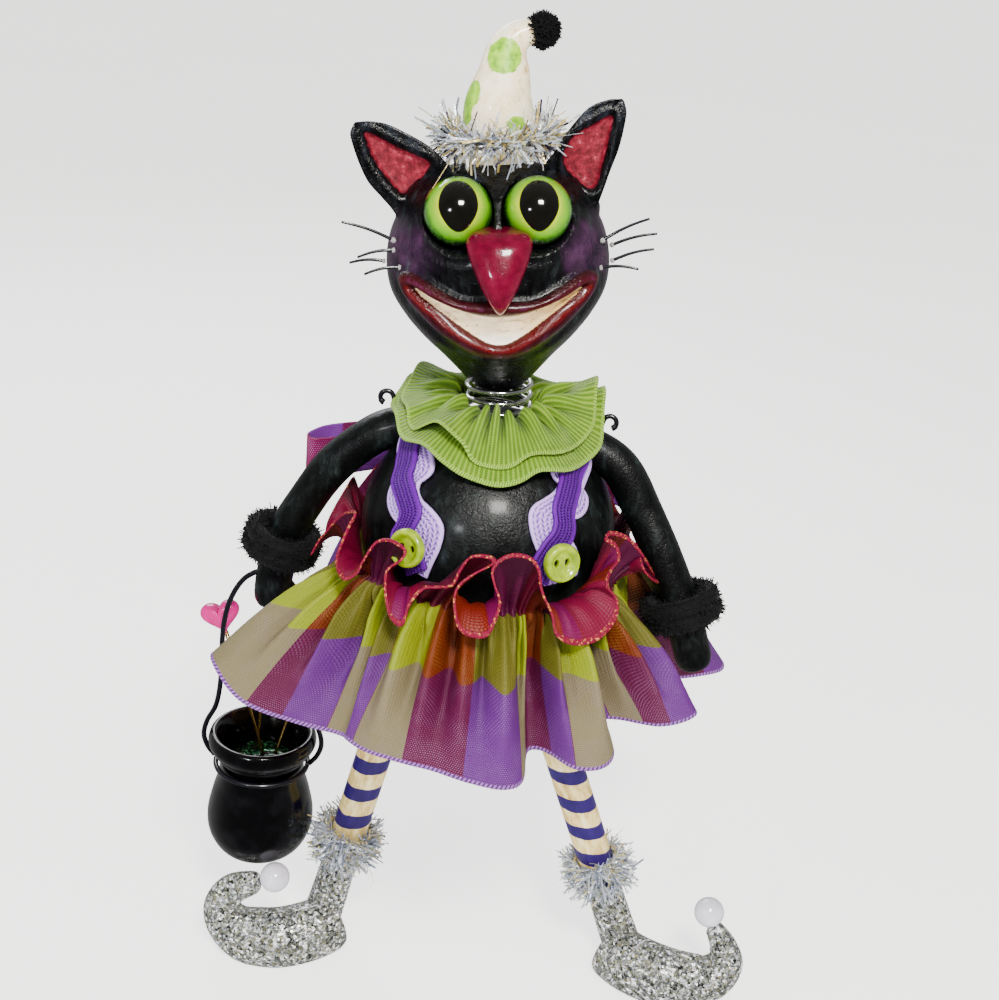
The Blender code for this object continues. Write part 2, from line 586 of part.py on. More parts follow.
def fluffy_ring(name, inner, half_width, half_height, centre, axis, steps, finish, frame,
                pinch=0.0):
    """A lumpy ring of oval section round `axis`, narrower at its sides by `pinch`."""
    sides = 6
    points = []
    for i in range(steps):
        turn = i * 2 * math.pi / steps
        lump = 1 + 0.07 * math.sin(5 * turn) + 0.05 * math.sin(9 * turn + 1)
        broad = half_width * (1 - pinch * abs(math.cos(turn)) ** 4)
        middle = inner + broad
        for s in range(sides):
            c, h = math.cos(s * 2 * math.pi / sides), math.sin(s * 2 * math.pi / sides)
            r = middle + broad * c * (lump if c > 0 else 1.0)
            points.append((r * math.cos(turn), r * math.sin(turn), half_height * h * lump))
    place = Vector((0, 0, 1)).rotation_difference(Vector(axis)).to_matrix().to_4x4()
    place = Matrix.Translation(centre) @ place
    points = [place @ Vector(p) for p in points]
    colour = {"tinsel": (SILVER, 0.3, 0.9), "chenille": (BLACK, 0.9, 0.0)}[finish]
    mesh = closed_mesh(name, points, ring_faces(steps, sides, closed=True))
    return add_piece(name, mesh, finish_for(finish, *colour), frame)


def build_neck(frame, chin):
    """An open coil spring from the top of the body to the chin."""
    seat = body_height(NECK_RADIUS - WIRE_NECK) + WIRE_NECK + GAP
    top = chin.z
    per_turn = 12
    steps = int(NECK_TURNS * per_turn)
    points = []
    for i in range(steps + 1):
        t = i / steps
        turn = t * NECK_TURNS * 2 * math.pi
        points.append((chin.x * t + NECK_RADIUS * math.sin(turn), -NECK_RADIUS * math.cos(turn),
                       seat + (top - seat) * t))
    tube_curve("neck_spring", points, WIRE_NECK,
               finish_for("bright_steel", (0.7, 0.7, 0.7), 0.2, 1.0), frame)


def edge_level(table, angles):
    """Levels read off a closed smooth curve through the (angle, level) pairs."""
    first_angle, first_level = table[0]
    fine = smooth_line(table + [(first_angle + FULL_TURN, first_level)], 6)
    turned_in = (np.asarray(angles) - first_angle) % FULL_TURN + first_angle
    return np.interp(turned_in, fine[:, 0], fine[:, 1]) * MM


def build_collar(frame):
    """Two rings of gathered ribbon, one on the other, round the foot of the spring."""
    green = finish_for("green_ribbon", LEAF, 0.7)
    angles = np.arange(COLLAR_COLUMNS) * FULL_TURN / COLLAR_COLUMNS - FULL_TURN / 2
    low_in = body_height(COLLAR_IN) + GAP + CLOTH
    inner = {"low": low_in, "top": low_in + CLOTH + COLLAR_SPACE + GAP}
    low_edge = edge_level(COLLAR_LOW_EDGE, angles)
    top_edge = np.maximum(edge_level(COLLAR_TOP_EDGE, angles), low_edge + 1.9 * MM)
    for word, edge, reach in (("low", low_edge, COLLAR_LOW_OUT), ("top", top_edge, COLLAR_TOP_OUT)):
        rows = []
        for share in (0.0, 0.5, 1.0):
            radius = COLLAR_IN + (reach - COLLAR_IN) * share
            bow = 1.2 * MM * math.sin(math.pi * share)
            level = inner[word] + (edge - inner[word]) * share ** 1.35 + bow
            rows.append(polar(angles, radius, level))
        node = "collar_lower" if word == "low" else "collar_upper"
        cloth_solid(node, np.array(rows), True, green, frame)


def arm_line(side):
    """Middle points, radii and the running share of length of an arm."""
    points = smooth_line(np.array(ARM_POINTS[side]) * MM, 2)
    run = np.concatenate([[0], np.cumsum(np.linalg.norm(np.diff(points, axis=0), axis=1))])
    share = run / run[-1]
    return points, share


def arm_at(side, share):
    points, shares = arm_line(side)
    here = Vector([np.interp(share, shares, points[:, k]) for k in range(3)])
    ahead = Vector([np.interp(share + 0.03, shares, points[:, k]) for k in range(3)])
    return here, (ahead - here).normalized()


def build_arms(frame, bail):
    """Two clay arms, shaped to the body at the shoulder, and what is on them."""
    clay = finish_for("black_clay", BLACK, 0.35)
    shell = bpy.data.objects.new("body_clearance", egg_mesh("body_clearance", GAP))
    bpy.context.collection.objects.link(shell)
    shell.parent = frame
    put_away(shell)
    for side, word in ((LEFT, "left"), (RIGHT, "right")):
        points, share = arm_line(side)
        ahead = points[-1] - points[-2]
        ahead /= np.linalg.norm(ahead)
        reach, width = ARM_RADIUS * np.array(FINGERTIP).T
        points = np.vstack([points, points[-1] + reach[:, None] * ahead])
        radii = np.concatenate([ARM_RADIUS * (1 - 0.06 * share), width])
        ring, faces = round_sweep(points, radii, 8)
        arm = add_piece(word + "_arm", closed_mesh(word + "_arm", ring, faces), clay, frame)
        combine(arm, shell, "DIFFERENCE")
        combine(arm, brace_clearance(side, word, frame), "DIFFERENCE")
        if side == LEFT:
            combine(arm, bail, "DIFFERENCE")
        wrist, way = arm_at(side, CUFF_AT[side])
        fluffy_ring(word + "_cuff", ARM_RADIUS + GAP, CUFF_WIDTH / 2, CUFF_HALF, wrist, way, 12,
                    "chenille", frame)
        build_shoulder_wire(side, word, frame)


def build_shoulder_wire(side, word, frame):
    """The end of a wire that comes out of the top of the arm and curls over."""
    here, way = arm_at(side, SHOULDER_AT[side])
    up = (Vector((0, 0, 1)) - way * way.z).normalized()
    foot = here + up * (ARM_RADIUS + 2 * GAP)
    points = [foot, foot + up * SHOULDER_CURL * 1.6]
    centre = points[1] + way * SHOULDER_CURL
    for k in range(1, 7):
        turn = math.pi - k * math.radians(38)
        points.append(centre + (way * math.cos(turn) + up * math.sin(turn)) * SHOULDER_CURL)
    tube_curve(word + "_shoulder_wire", points, SHOULDER_WIRE,
               finish_for("black_wire", BLACK, 0.25, 0.5), frame)


def egg_mesh(name, grow):
    """The body's form: a ball, less tall above its widest level than below."""
    shape = bmesh.new()
    bmesh.ops.create_uvsphere(shape, u_segments=22, v_segments=13, radius=1.0)
    for vert in shape.verts:
        rise = BODY_RISE if vert.co.z > 0 else BODY_DROP
        vert.co = Vector((vert.co.x * (BODY_RADIUS + grow), vert.co.y * (BODY_RADIUS + grow),
                          BODY_Z + vert.co.z * (rise + grow)))
    mesh = bpy.data.meshes.new(name)
    shape.to_mesh(mesh)
    shape.free()
    mesh.shade_smooth()
    return mesh


def build_body(frame):
    body = add_piece("body", egg_mesh("body", 0.0), finish_for("black_clay", BLACK, 0.35), frame)
    wood = finish_for("striped_wood", CREAM, 0.5)
    for side, word in ((LEFT, "left"), (RIGHT, "right")):
        foot, top = leg_point(side, LEG_FOOT), leg_point(side, LEG_TOP)
        way = (top - foot).normalized()
        for name, radius, extra, helper in ((word + "_leg", LEG_RADIUS, 0.0, False),
                                            (word + "_leg_bore", LEG_RADIUS + GAP, GAP, True)):
            start = foot if not helper else leg_point(side, LEG_TOP - 40 * MM)
            points, faces = round_sweep([start, top + way * extra], [radius] * 2, 14)
            piece = add_piece(name, closed_mesh(name, points, faces), wood, frame, helper)
        combine(body, piece, "DIFFERENCE")


def brace_strip(middle, width, rise, side):
    """The two edges of a strip on the body, from its middle's angles, in even steps."""
    line = smooth_line(middle, 8)
    points = body_point(side * line[:, 0], line[:, 1], rise)
    run = np.concatenate([[0], np.cumsum(np.linalg.norm(np.diff(points, axis=0), axis=1))])
    even = np.linspace(0, run[-1], int(run[-1] / (3.6 * MM)))
    points = np.stack([np.interp(even, run, points[:, k]) for k in range(3)], axis=1)
    out = points - np.array([0, 0, BODY_Z])
    ways = [np.gradient(points, axis=0)]
    mean = np.vstack([points[:1]] * 3 + [points] + [points[-1:]] * 3)
    ways.append(np.gradient(sum(mean[k:k + len(points)] for k in range(7)), axis=0))
    cross = [np.cross(way, out) for way in ways]
    cross = [c / np.linalg.norm(c, axis=1)[:, None] for c in cross]
    across = cross[0] * 0.35 + cross[1] * 0.65
    return on_body(np.array([points + across * k * width / 2 for k in (-1, 1)]), rise)


def brace_clearance(side, word, frame):
    """A cutter for the room that the brace takes where the arm lies over it."""
    middle = BRACE_FRONT[side, "purple"][-3:] + BRACE_BACK
    cutter = cloth_solid(word + "_brace_room", brace_strip(middle, 11 * MM, 1.5 * MM, side),
                         False, finish_for("black_clay", BLACK, 0.35), frame, 3.8 * MM)
    put_away(cutter)
    return cutter


def on_body(points, rise):
    """Points pushed in or out along the body's surface direction to stand `rise` off it."""
    off = points - np.array([0, 0, BODY_Z])
    tall = np.where(off[..., 2] < 0, BODY_DROP, BODY_RISE) + rise
    wide = BODY_RADIUS + rise
    size = np.sqrt((off[..., 0] / wide) ** 2 + (off[..., 1] / wide) ** 2 + (off[..., 2] / tall) ** 2)
    return np.array([0, 0, BODY_Z]) + off / size[..., None]


def build_braces(frame):
    """Two zigzag braids to each brace, lavender under purple, with a button in front."""
    for side, word in ((LEFT, "left"), (RIGHT, "right")):
        for layer, colour in (("lavender", LAVENDER), ("purple", PURPLE)):
            rise = GAP + BRACE_THICK / 2 + 0.3 * MM
            rise += 0 if layer == "lavender" else BRACE_THICK + GAP
            middle = BRACE_FRONT[side, layer] + BRACE_BACK
            cloth_solid(f"{word}_brace_{layer}",
                        brace_strip(middle, BRACE_WIDTH[layer], rise, side), False,
                        finish_for(layer + "_braid", colour, 0.7), frame, BRACE_THICK)
        button_on_body(side, word, frame)


def button_on_body(side, word, frame):
    """A round sew-through button with a raised rim and two holes, flat on the braid."""
    r, t = BUTTON_RADIUS, BUTTON_THICK
    profile = [(0, 0), (r * 0.72, 0), (r * 0.95, t * 0.25), (r, t * 0.6), (r * 0.93, t * 0.92),
               (r * 0.8, t), (r * 0.6, t * 0.7), (0, t * 0.62)]
    piece = turned(word + "_button", profile, 14, finish_for("lime_button", LIME, 0.25), frame)
    rise = 2 * (BRACE_THICK + GAP) + GAP + 0.5 * MM
    centre = Vector(body_point(side * BUTTON_AT[0], BUTTON_AT[1], rise))
    out = (Vector(body_point(side * BUTTON_AT[0], BUTTON_AT[1], rise + MM)) - centre).normalized()
    turn = Vector((0, 0, 1)).rotation_difference(out)
    piece.rotation_euler = turn.to_euler()
    piece.location = centre
    level = turn.inverted() @ Vector((1, 0, 0))
    level = Vector((level.x, level.y, 0)).normalized()
    for number, way in enumerate((-1, 1)):
        drill = turned(f"{word}_button_hole_{number + 1}",
                       [(0, -t), (BUTTON_HOLE, -t), (BUTTON_HOLE, 2 * t), (0, 2 * t)], 6,
                       finish_for("lime_button", LIME, 0.25), piece, helper=True)
        drill.location = level * way * BUTTON_PITCH / 2
        combine(piece, drill, "DIFFERENCE")


def skirt_lines(columns):
    """Header, waist and hem as closed rows of points, all with the same columns."""
    next_first = (HEM[0][0] + FULL_TURN, *HEM[0][1:])
    next_second = (HEM[1][0] + FULL_TURN, *HEM[1][1:])
    hem = smooth_line(HEM, 4)
    closing = smooth_line([HEM[-2], HEM[-1], next_first, next_second], 4)[5:8]
    hem = np.vstack([hem, closing, [next_first]])
    place = polar(hem[:, 0], hem[:, 1], hem[:, 2])
    run = np.concatenate([[0], np.cumsum(np.linalg.norm(np.diff(place, axis=0), axis=1))])
    even = np.linspace(0, run[-1], columns + 1)[:-1]
    angle, radius, level = (np.interp(even, run, hem[:, k]) for k in range(3))
    top = smooth_line(HEADER + [(HEADER[0][0] + FULL_TURN, *HEADER[0][1:])], 4)
    wrapped = (angle - HEADER[0][0]) % FULL_TURN + HEADER[0][0]
    top_radius, top_level = (np.interp(wrapped, top[:, 0], top[:, k]) for k in (1, 2))
    return angle, radius * MM, level * MM, top_radius * MM, top_level * MM


def build_skirt(frame):
    """A wide ribbon gathered round the waist: a frilled header above, deep folds below."""
    angle, radius, level, top_radius, top_level = skirt_lines(68)
    waist = BODY_RADIUS + GAP + CLOTH / 2 + 0.25 * MM
    rows = [polar(angle, top_radius, top_level)]
    low = (waist + (top_radius - waist) * 0.62, WAIST_Z + 1.0 * MM + (top_level - WAIST_Z) * 0.4)
    rows.append(polar(angle, *low))
    rows.append(polar(angle, np.full_like(angle, waist), np.full_like(angle, WAIST_Z)))
    for share in (0.5, 1.0):
        reach = waist + (radius - waist) * share ** 0.86
        drop = WAIST_Z + (level - WAIST_Z) * share ** 1.12
        rows.append(polar(angle, reach, drop))
    cloth_solid("skirt", np.array(rows), True, finish_for("plaid_ribbon", PLUM, 0.5), frame)


def build_bow(frame):
    """Two loops of the same ribbon, joined at a knot behind the waist."""
    ribbon = finish_for("plaid_ribbon", PLUM, 0.5)
    knot_y = (BOW_LOOP[0][1] + BOW_LOOP[-1][1]) / 2 * MM
    points = []
    for k in range(5):
        level = -1 + k / 2
        half = (4.6 - 1.2 * abs(level) ** 2) * MM
        for s in range(8):
            turn = s * math.pi / 4
            points.append((half * math.cos(turn), knot_y + 3.0 * MM * math.sin(turn),
                           BOW_Z + level * (BOW_HALF + 0.9 * MM)))
    knot = add_piece("bow", closed_mesh("bow", points, ring_faces(5, 8)), ribbon, frame)
    for side, word in ((LEFT, "left"), (RIGHT, "right")):
        plan = smooth_line(BOW_LOOP, 2) * MM
        plan[:, 0] = 3.4 * MM + (plan[:, 0] - 3.4 * MM) * BOW_REACH[side]
        open_share = np.clip((plan[:, 0] - 3.4 * MM) / (40 * MM), 0, 1)
        half = BOW_HALF + BOW_FLARE * open_share ** 0.8
        rows = [np.stack([side * plan[:, 0], plan[:, 1], BOW_Z + 2.5 * MM * open_share + k * half],
                         axis=-1) for k in (-1, 1)]
        loop = cloth_solid(word + "_bow_loop", np.array(rows), False, ribbon, frame, 0.9 * MM)
        put_away(loop)
        combine(knot, loop, "UNION")


def build_shoes(frame):
    """Curled shoes with a stub that meets the leg inside the tinsel."""
    glitter = finish_for("silver_glitter", SILVER, 0.35, 0.9)
    shape = bmesh.new()
    bmesh.ops.create_cube(shape, size=0.4)
    bmesh.ops.translate(shape, verts=shape.verts, vec=(0, 0, -0.2))
    ground_mesh = bpy.data.meshes.new("ground_cut")
    shape.to_mesh(ground_mesh)
    shape.free()
    ground = add_piece("ground_cut", ground_mesh, glitter, frame, helper=True)
    for side, word in ((LEFT, "left"), (RIGHT, "right")):
        line = smooth_line(np.array(SHOE_POINTS[side]), 2) * MM
        points, faces = round_sweep(line[:, :3], line[:, 3], 10)
        shoe = add_piece(word + "_shoe", closed_mesh(word + "_shoe", points, faces), glitter,
                         frame)
        foot = leg_point(side, LEG_FOOT)
        way = (leg_point(side, LEG_TOP) - foot).normalized()
        stub_top = foot - way * GAP
        stub_low = Vector((stub_top.x - LEG_SLOPE[side] * 17 * MM, -1.6 * MM, 7 * MM))
        points, faces = round_sweep([stub_low, stub_top - way * 6 * MM, stub_top],
                                    [LEG_RADIUS * 1.08, LEG_RADIUS, LEG_RADIUS], 10)
        stub = add_piece(word + "_ankle_stub", closed_mesh(word + "_ankle_stub", points, faces),
                         glitter, frame, helper=True)
        combine(shoe, stub, "UNION")
        combine(shoe, ground, "DIFFERENCE")
        reach = Vector(BEAD_REACH[side]).normalized()
        ball(word + "_shoe_bead", BEAD_RADIUS,
             Vector(line[-1, :3]) + reach * (BEAD_RADIUS + 0.6 * MM),
             finish_for("white_bead", WHITE, 0.2), frame, 12, 7)
        middle = leg_point(side, ANKLE_TINSEL_Z[side])
        fluffy_ring(word + "_ankle_tinsel", LEG_RADIUS + 1.6 * GAP, ANKLE_TINSEL_WIDTH / 2,
                    ANKLE_TINSEL_HALF, middle, way, 12, "tinsel", frame)


def bail_line():
    """The wire's route: up one side from under the rim, over the top, down the other."""
    side = [(x, 0.0, z) for x, z in BAIL_SIDE]
    route = [(-x, y, z) for x, y, z in side] + [(0.0, 0.0, BAIL_TOP / MM)] + side[::-1]
    return smooth_line(np.array(route), 1) * MM + np.array(CAULDRON_AT)


def build_cauldron(frame):
    """A round pot with a flared rim, its wire bail, the brew in it and three pins."""
    pot = [(r * MM, z * MM) for r, z in CAULDRON_OUT + CAULDRON_RIM + CAULDRON_IN]
    cauldron = turned("cauldron", pot, 16, finish_for("black_glaze", BLACK, 0.1), frame)
    cauldron.location = CAULDRON_AT
    levels, radii = np.array(sorted((z, r) for r, z in CAULDRON_IN)).T * MM
    low = levels < BREW_LEVEL - 0.2 * MM
    wall = [(max(0.0, r - 1.3 * GAP), z + GAP) for r, z in zip(radii[low], levels[low])]
    top = np.interp(BREW_LEVEL, levels, radii)
    fill = wall + [(top - 1.3 * GAP, BREW_LEVEL), (0.0, BREW_LEVEL)]
    brew = turned("cauldron_brew", fill, 16, finish_for("green_brew", GREEN, 0.3), frame)
    brew.location = CAULDRON_AT
    tube_curve("cauldron_bail", bail_line(), BAIL_RADIUS,
               finish_for("black_wire", BLACK, 0.25, 0.5), frame)
    for word, (foot, top) in PINS.items():
        foot, top = Vector(foot) * MM, Vector(top) * MM
        way = (top - foot).normalized()
        tube_curve(f"pin_{word}", [foot, top], PIN_RADIUS,
                   finish_for("gold_pin", GOLD, 0.3, 1.0), frame, 0)
        build_heart(f"heart_{word}", top + way * 2 * GAP, way, frame)


def build_heart(name, point, way, frame):
    """A puffy heart whose lower point is on the pin's end."""
    outline = 14
    rim = []
    for k in range(outline):
        t = k * 2 * math.pi / outline
        x = 16 * math.sin(t) ** 3
        z = 13 * math.cos(t) - 5 * math.cos(2 * t) - 2 * math.cos(3 * t) - math.cos(4 * t)
        rim.append((x / 16 * HEART_HALF, (z + 17) / 16 * HEART_HALF * 0.94))
    centre = np.array([0.0, HEART_HALF * 1.02])
    points = []
    for share, depth in ((0.0, -1.0), (0.62, -0.82), (1.0, 0.0), (0.62, 0.82), (0.0, 1.0)):
        for x, z in rim:
            p = centre + (np.array([x, z]) - centre) * max(share, 0.12)
            points.append((p[0], depth * HEART_THICK, p[1]))
    turn = Vector((0, 0, 1)).rotation_difference(way).to_matrix().to_4x4()
    place = Matrix.Translation(point) @ turn
    mesh = closed_mesh(name, [place @ Vector(p) for p in points], ring_faces(5, outline))
    add_piece(name, mesh, finish_for("pink_heart", PINK, 0.3), frame)


def settle_origin(frame):
    """Move the doll so that the middle of its box's underside is at the origin."""
    bpy.context.view_layer.update()
    graph = bpy.context.evaluated_depsgraph_get()
    low, high = np.full(3, np.inf), np.full(3, -np.inf)
    for item in bpy.data.objects:
        if item.type not in {"MESH", "CURVE"} or item.display_type == "WIRE":
            continue
        seen = item.evaluated_get(graph)
        mesh = seen.to_mesh()
        spots = np.array([seen.matrix_world @ v.co for v in mesh.vertices])
        low, high = np.minimum(low, spots.min(axis=0)), np.maximum(high, spots.max(axis=0))
        seen.to_mesh_clear()
    frame.location = (-(low[0] + high[0]) / 2, -(low[1] + high[1]) / 2, -low[2])


clear_scene()
doll = bpy.data.objects.new("doll_frame", None)
bpy.context.collection.objects.link(doll)
head_frame = bpy.data.objects.new("head_frame", None)
bpy.context.collection.objects.link(head_frame)
head_frame.parent = doll
head_frame.location = HEAD_AT
head_frame.rotation_euler = (Matrix.Rotation(HEAD_ROLL, 3, "Y")
                             @ Matrix.Rotation(HEAD_TURN, 3, "Z")).to_euler()
chin_place = HEAD_AT + Euler((0, HEAD_ROLL, 0)).to_matrix() @ Vector((0, 0, CHIN_LEVEL))

build_body(doll)
build_neck(doll, chin_place)
build_head(head_frame)
build_whiskers(head_frame)
build_hat(head_frame)
build_collar(doll)
hole_points, hole_faces = round_sweep(bail_line(), [BAIL_RADIUS + GAP] * len(bail_line()), 8)
bail_cutter = add_piece("bail_clearance", closed_mesh("bail_clearance", hole_points, hole_faces),
                        finish_for("black_wire", BLACK, 0.25, 0.5), doll, helper=True)
build_arms(doll, bail_cutter)
build_braces(doll)
build_skirt(doll)
build_bow(doll)
build_shoes(doll)
build_cauldron(doll)
settle_origin(doll)
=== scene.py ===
"""A cat doll of painted clay in a party hat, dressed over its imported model.

Lengths are in millimetres of the doll's own frame, soles at z 0 and front towards -y, until a
mesh is made. Left and right are the viewer's.
"""

import bpy
import numpy as np
from mathutils import Matrix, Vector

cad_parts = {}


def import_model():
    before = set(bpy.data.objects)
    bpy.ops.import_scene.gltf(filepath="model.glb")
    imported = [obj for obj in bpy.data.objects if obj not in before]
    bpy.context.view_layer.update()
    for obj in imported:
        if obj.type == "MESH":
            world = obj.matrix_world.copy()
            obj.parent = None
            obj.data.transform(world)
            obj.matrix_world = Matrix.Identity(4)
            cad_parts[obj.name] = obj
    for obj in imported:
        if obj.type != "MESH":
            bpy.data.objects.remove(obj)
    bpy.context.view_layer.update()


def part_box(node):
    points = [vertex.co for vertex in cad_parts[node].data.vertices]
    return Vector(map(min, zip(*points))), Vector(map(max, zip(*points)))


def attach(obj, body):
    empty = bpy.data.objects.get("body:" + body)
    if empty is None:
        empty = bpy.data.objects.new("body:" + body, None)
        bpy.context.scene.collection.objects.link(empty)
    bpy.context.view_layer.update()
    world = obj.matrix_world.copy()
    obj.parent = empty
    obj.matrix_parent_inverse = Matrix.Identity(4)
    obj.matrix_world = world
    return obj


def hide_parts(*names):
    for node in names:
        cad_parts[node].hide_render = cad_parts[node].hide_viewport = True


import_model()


# The studio: a camera a little above the doll's hat, two small windows in front, a wide fill on
# each side, a light behind, and a surround that is paler behind the doll than in front.
MM = 0.001
BODY_LOW, BODY_HIGH = np.array(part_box("body"))[:, :3]
DOLL_AXIS = np.array([*(BODY_LOW + BODY_HIGH)[:2] / 2, 0.0])
CAMERA_AT = np.array([2.1, -322.0, 261.0])
CAMERA_TILT = 67.5
CAMERA_ROLL = 5.5
FOCAL = 1500 * 36 / 999


def world(points):
    """Metres in the shared frame for points in millimetres of the doll's own."""
    return np.asarray(points, float) * MM + DOLL_AXIS


def turn(degrees, axis):
    """The 4 by 4 matrix that turns by so many degrees about an axis."""
    return Matrix.Rotation(np.radians(degrees), 4, axis)


def colour(red, green, blue):
    """A paint colour, each part from 0 to 255 as the eye sees it, in a shader's linear form."""
    seen = np.array([red, green, blue]) / 255
    linear = np.where(seen <= 0.04045, seen / 12.92, ((seen + 0.055) / 1.055) ** 2.4)
    return (*linear.tolist(), 1.0)


def aim(thing, start, target):
    """Puts a light or camera at a point and points it at another, both in millimetres."""
    place = world(start)
    way = Matrix.Identity(3)
    ahead = world(target) - place
    ahead /= np.linalg.norm(ahead)
    side = np.cross(ahead, (0, 0, 1))
    side /= np.linalg.norm(side)
    above = np.cross(side, ahead)
    for row in range(3):
        way[row] = (side[row], above[row], -ahead[row])
    thing.matrix_world = Matrix.Translation(place.tolist()) @ way.to_4x4()


def lamp(name, start, target, wide, high, power, tint, in_gloss=False):
    """A flat soft light of the given size in millimetres. Glossy paint mirrors it if asked to."""
    data = bpy.data.lights.new(name, "AREA")
    data.shape = "RECTANGLE"
    data.size = wide * MM
    data.size_y = high * MM
    data.energy = power
    data.color = colour(*tint)[:3]
    thing = bpy.data.objects.new(name, data)
    thing.visible_glossy = in_gloss
    bpy.context.scene.collection.objects.link(thing)
    aim(thing, start, target)


eye_piece = bpy.data.cameras.new("camera")
eye_piece.sensor_width = 36
eye_piece.sensor_fit = "HORIZONTAL"
eye_piece.lens = FOCAL
eye_piece.clip_start = 0.01
eye_piece.clip_end = 60
camera = bpy.data.objects.new("camera", eye_piece)
bpy.context.scene.collection.objects.link(camera)
camera.matrix_world = (Matrix.Translation(world(CAMERA_AT).tolist())
                       @ turn(CAMERA_TILT, "X") @ turn(CAMERA_ROLL, "Z"))
bpy.context.scene.camera = camera

lamp("window", (90, -470, 600), (0, 0, 140), 150, 120, 8.5, (255, 252, 246), True)
lamp("small_window", (-250, -520, 330), (0, 0, 150), 60, 50, 0.9, (246, 250, 255), True)
lamp("fill_left", (-620, -300, 330), (0, 0, 110), 700, 700, 4.5, (248, 249, 255))
lamp("fill_right", (620, -220, 300), (0, 0, 110), 600, 700, 3.0, (255, 250, 244))
lamp("back_light", (-250, 560, 520), (0, 0, 130), 500, 300, 4.0, (250, 250, 255), True)
sky = bpy.data.worlds.new("surround")
sky.use_nodes = True
ways = sky.node_tree.nodes.new("ShaderNodeTexCoord")
parts = sky.node_tree.nodes.new("ShaderNodeSeparateXYZ")
fall = sky.node_tree.nodes.new("ShaderNodeMapRange")
sky.node_tree.links.new(ways.outputs["Generated"], parts.inputs[0])
sky.node_tree.links.new(parts.outputs["Y"], fall.inputs["Value"])
for label, number in (("From Min", -0.6), ("From Max", 0.7), ("To Min", 0.12), ("To Max", 0.42)):
    fall.inputs[label].default_value = number
shell = sky.node_tree.nodes["Background"]
shell.inputs["Color"].default_value = colour(246, 246, 244)
sky.node_tree.links.new(fall.outputs["Result"], shell.inputs["Strength"])
bpy.context.scene.world = sky


# The head: one sculpted skull with chin and two ears, black satin clay with purple blush, red
# lips, cream teeth and rose inside the ears. It stands on the spring neck by its chin.
HEAD_AT = (-3, 0, 181.3)
HEAD_TURN = np.array((turn(-5.5, "Y") @ turn(2.5, "Z")).to_3x3())
SKULL = [(0, 25), (6.5, 24.2), (13, 21.6), (18.6, 17), (22.6, 11), (24.2, 4), (23.6, -2.5),
         (20.8, -8), (17, -12.8), (13.2, -16.8), (10.6, -19.8), (8.4, -22.4), (6.9, -24),
         (5.9, -25.1), (4.4, -26), (2.2, -26.4), (0, -26.5)]
FACE_DEPTH = 0.89
EYE_AT = np.array([8.2, -13.2, 16])
EYE_RADIUS = 7.2
SOCKET_RADIUS = 7.5
UPPER_LIP = 1.7
LOWER_LIP = 2.2
JAW = 3.0
OUTSIDE = -9.0
LIP_EDGE = [(0, -0.8), (4.5, -1.1), (8.5, -0.6), (13, 1.6), (17, 3.6), (19.6, 3.5), (20.9, 1.9),
            (19.6, -1.2), (17.3, -4.4), (13, -8.2), (8, -11.6), (3.4, -14.6), (0, -15.2)]
TEETH_EDGE = [(0, -4.4), (4.2, -4.1), (8.5, -3), (13, -1.4), (16.2, 0.2), (17.6, 0.5),
              (16.4, -1.0), (13, -3.4), (9, -6.1), (5, -8.7), (1.7, -10.6), (0, -10.9)]
EAR_OUTER = {-1: [(-19, 9), (-22.2, 14.4), (-24.6, 17.3), (-27.4, 20.6), (-29.4, 25.2),
                  (-30.7, 29.7), (-30.7, 31.2), (-30.2, 32.2)],
             1: [(19, 10), (21.4, 15.6), (23.6, 21.8), (25.7, 27.4), (27, 33.5), (26.9, 36.1),
                 (26.6, 36.6)]}
EAR_INNER = {-1: [(-7, 20), (-11.2, 25), (-14.5, 28), (-19.5, 30.8), (-23.5, 32.5), (-27.4, 33),
                  (-29.2, 33)],
             1: [(7, 21), (11.6, 26), (14.4, 30.2), (18.8, 35.1), (22.7, 36.8), (25.7, 37.2)]}
EAR_ROSE = {-1: [(-27.5, 30.8), (-20.8, 27.5), (-14.6, 24.7), (-14.9, 22.4), (-19.4, 17.8),
                 (-22.2, 19.6), (-25.5, 24.1), (-27.1, 27.5)],
            1: [(24.2, 33.5), (22.9, 26.3), (20.8, 19), (17.9, 19.5), (13.9, 24.1), (15.5, 29.1),
                (20, 31.8)]}


def along(points, shares, closed=False):
    """Points on the smooth line through the given ones, at the given shares of its length.

    Between b and c, with neighbours a and d, a Catmull-Rom piece is half of
    2b + (c - a)t + (2a - 5b + 4c - d)t^2 + (3b - a - 3c + d)t^3. A whole number for the shares
    asks for so many even steps.
    """
    line = np.asarray(points, float)
    if closed:
        line = np.vstack([line[-1:], line, line[:2]])
    else:
        line = np.vstack([2 * line[0] - line[1], line, 2 * line[-1] - line[-2]])
    a, b, c, d = line[:-3], line[1:-2], line[2:-1], line[3:]
    t = np.linspace(0, 1, 24, endpoint=False)[:, None, None]
    fine = (2 * b + (c - a) * t + (2 * a - 5 * b + 4 * c - d) * t ** 2
            + (3 * b - a - 3 * c + d) * t ** 3) / 2
    fine = np.vstack([fine.transpose(1, 0, 2).reshape(-1, line.shape[1]), line[-2]])
    length = np.concatenate([[0], np.cumsum(np.linalg.norm(np.diff(fine, axis=0), axis=1))])
    if isinstance(shares, int):
        shares = np.linspace(0, 1, shares, endpoint=not closed)
    at = np.asarray(shares) * length[-1]
    return np.stack([np.interp(at, length, part) for part in fine.T], -1)


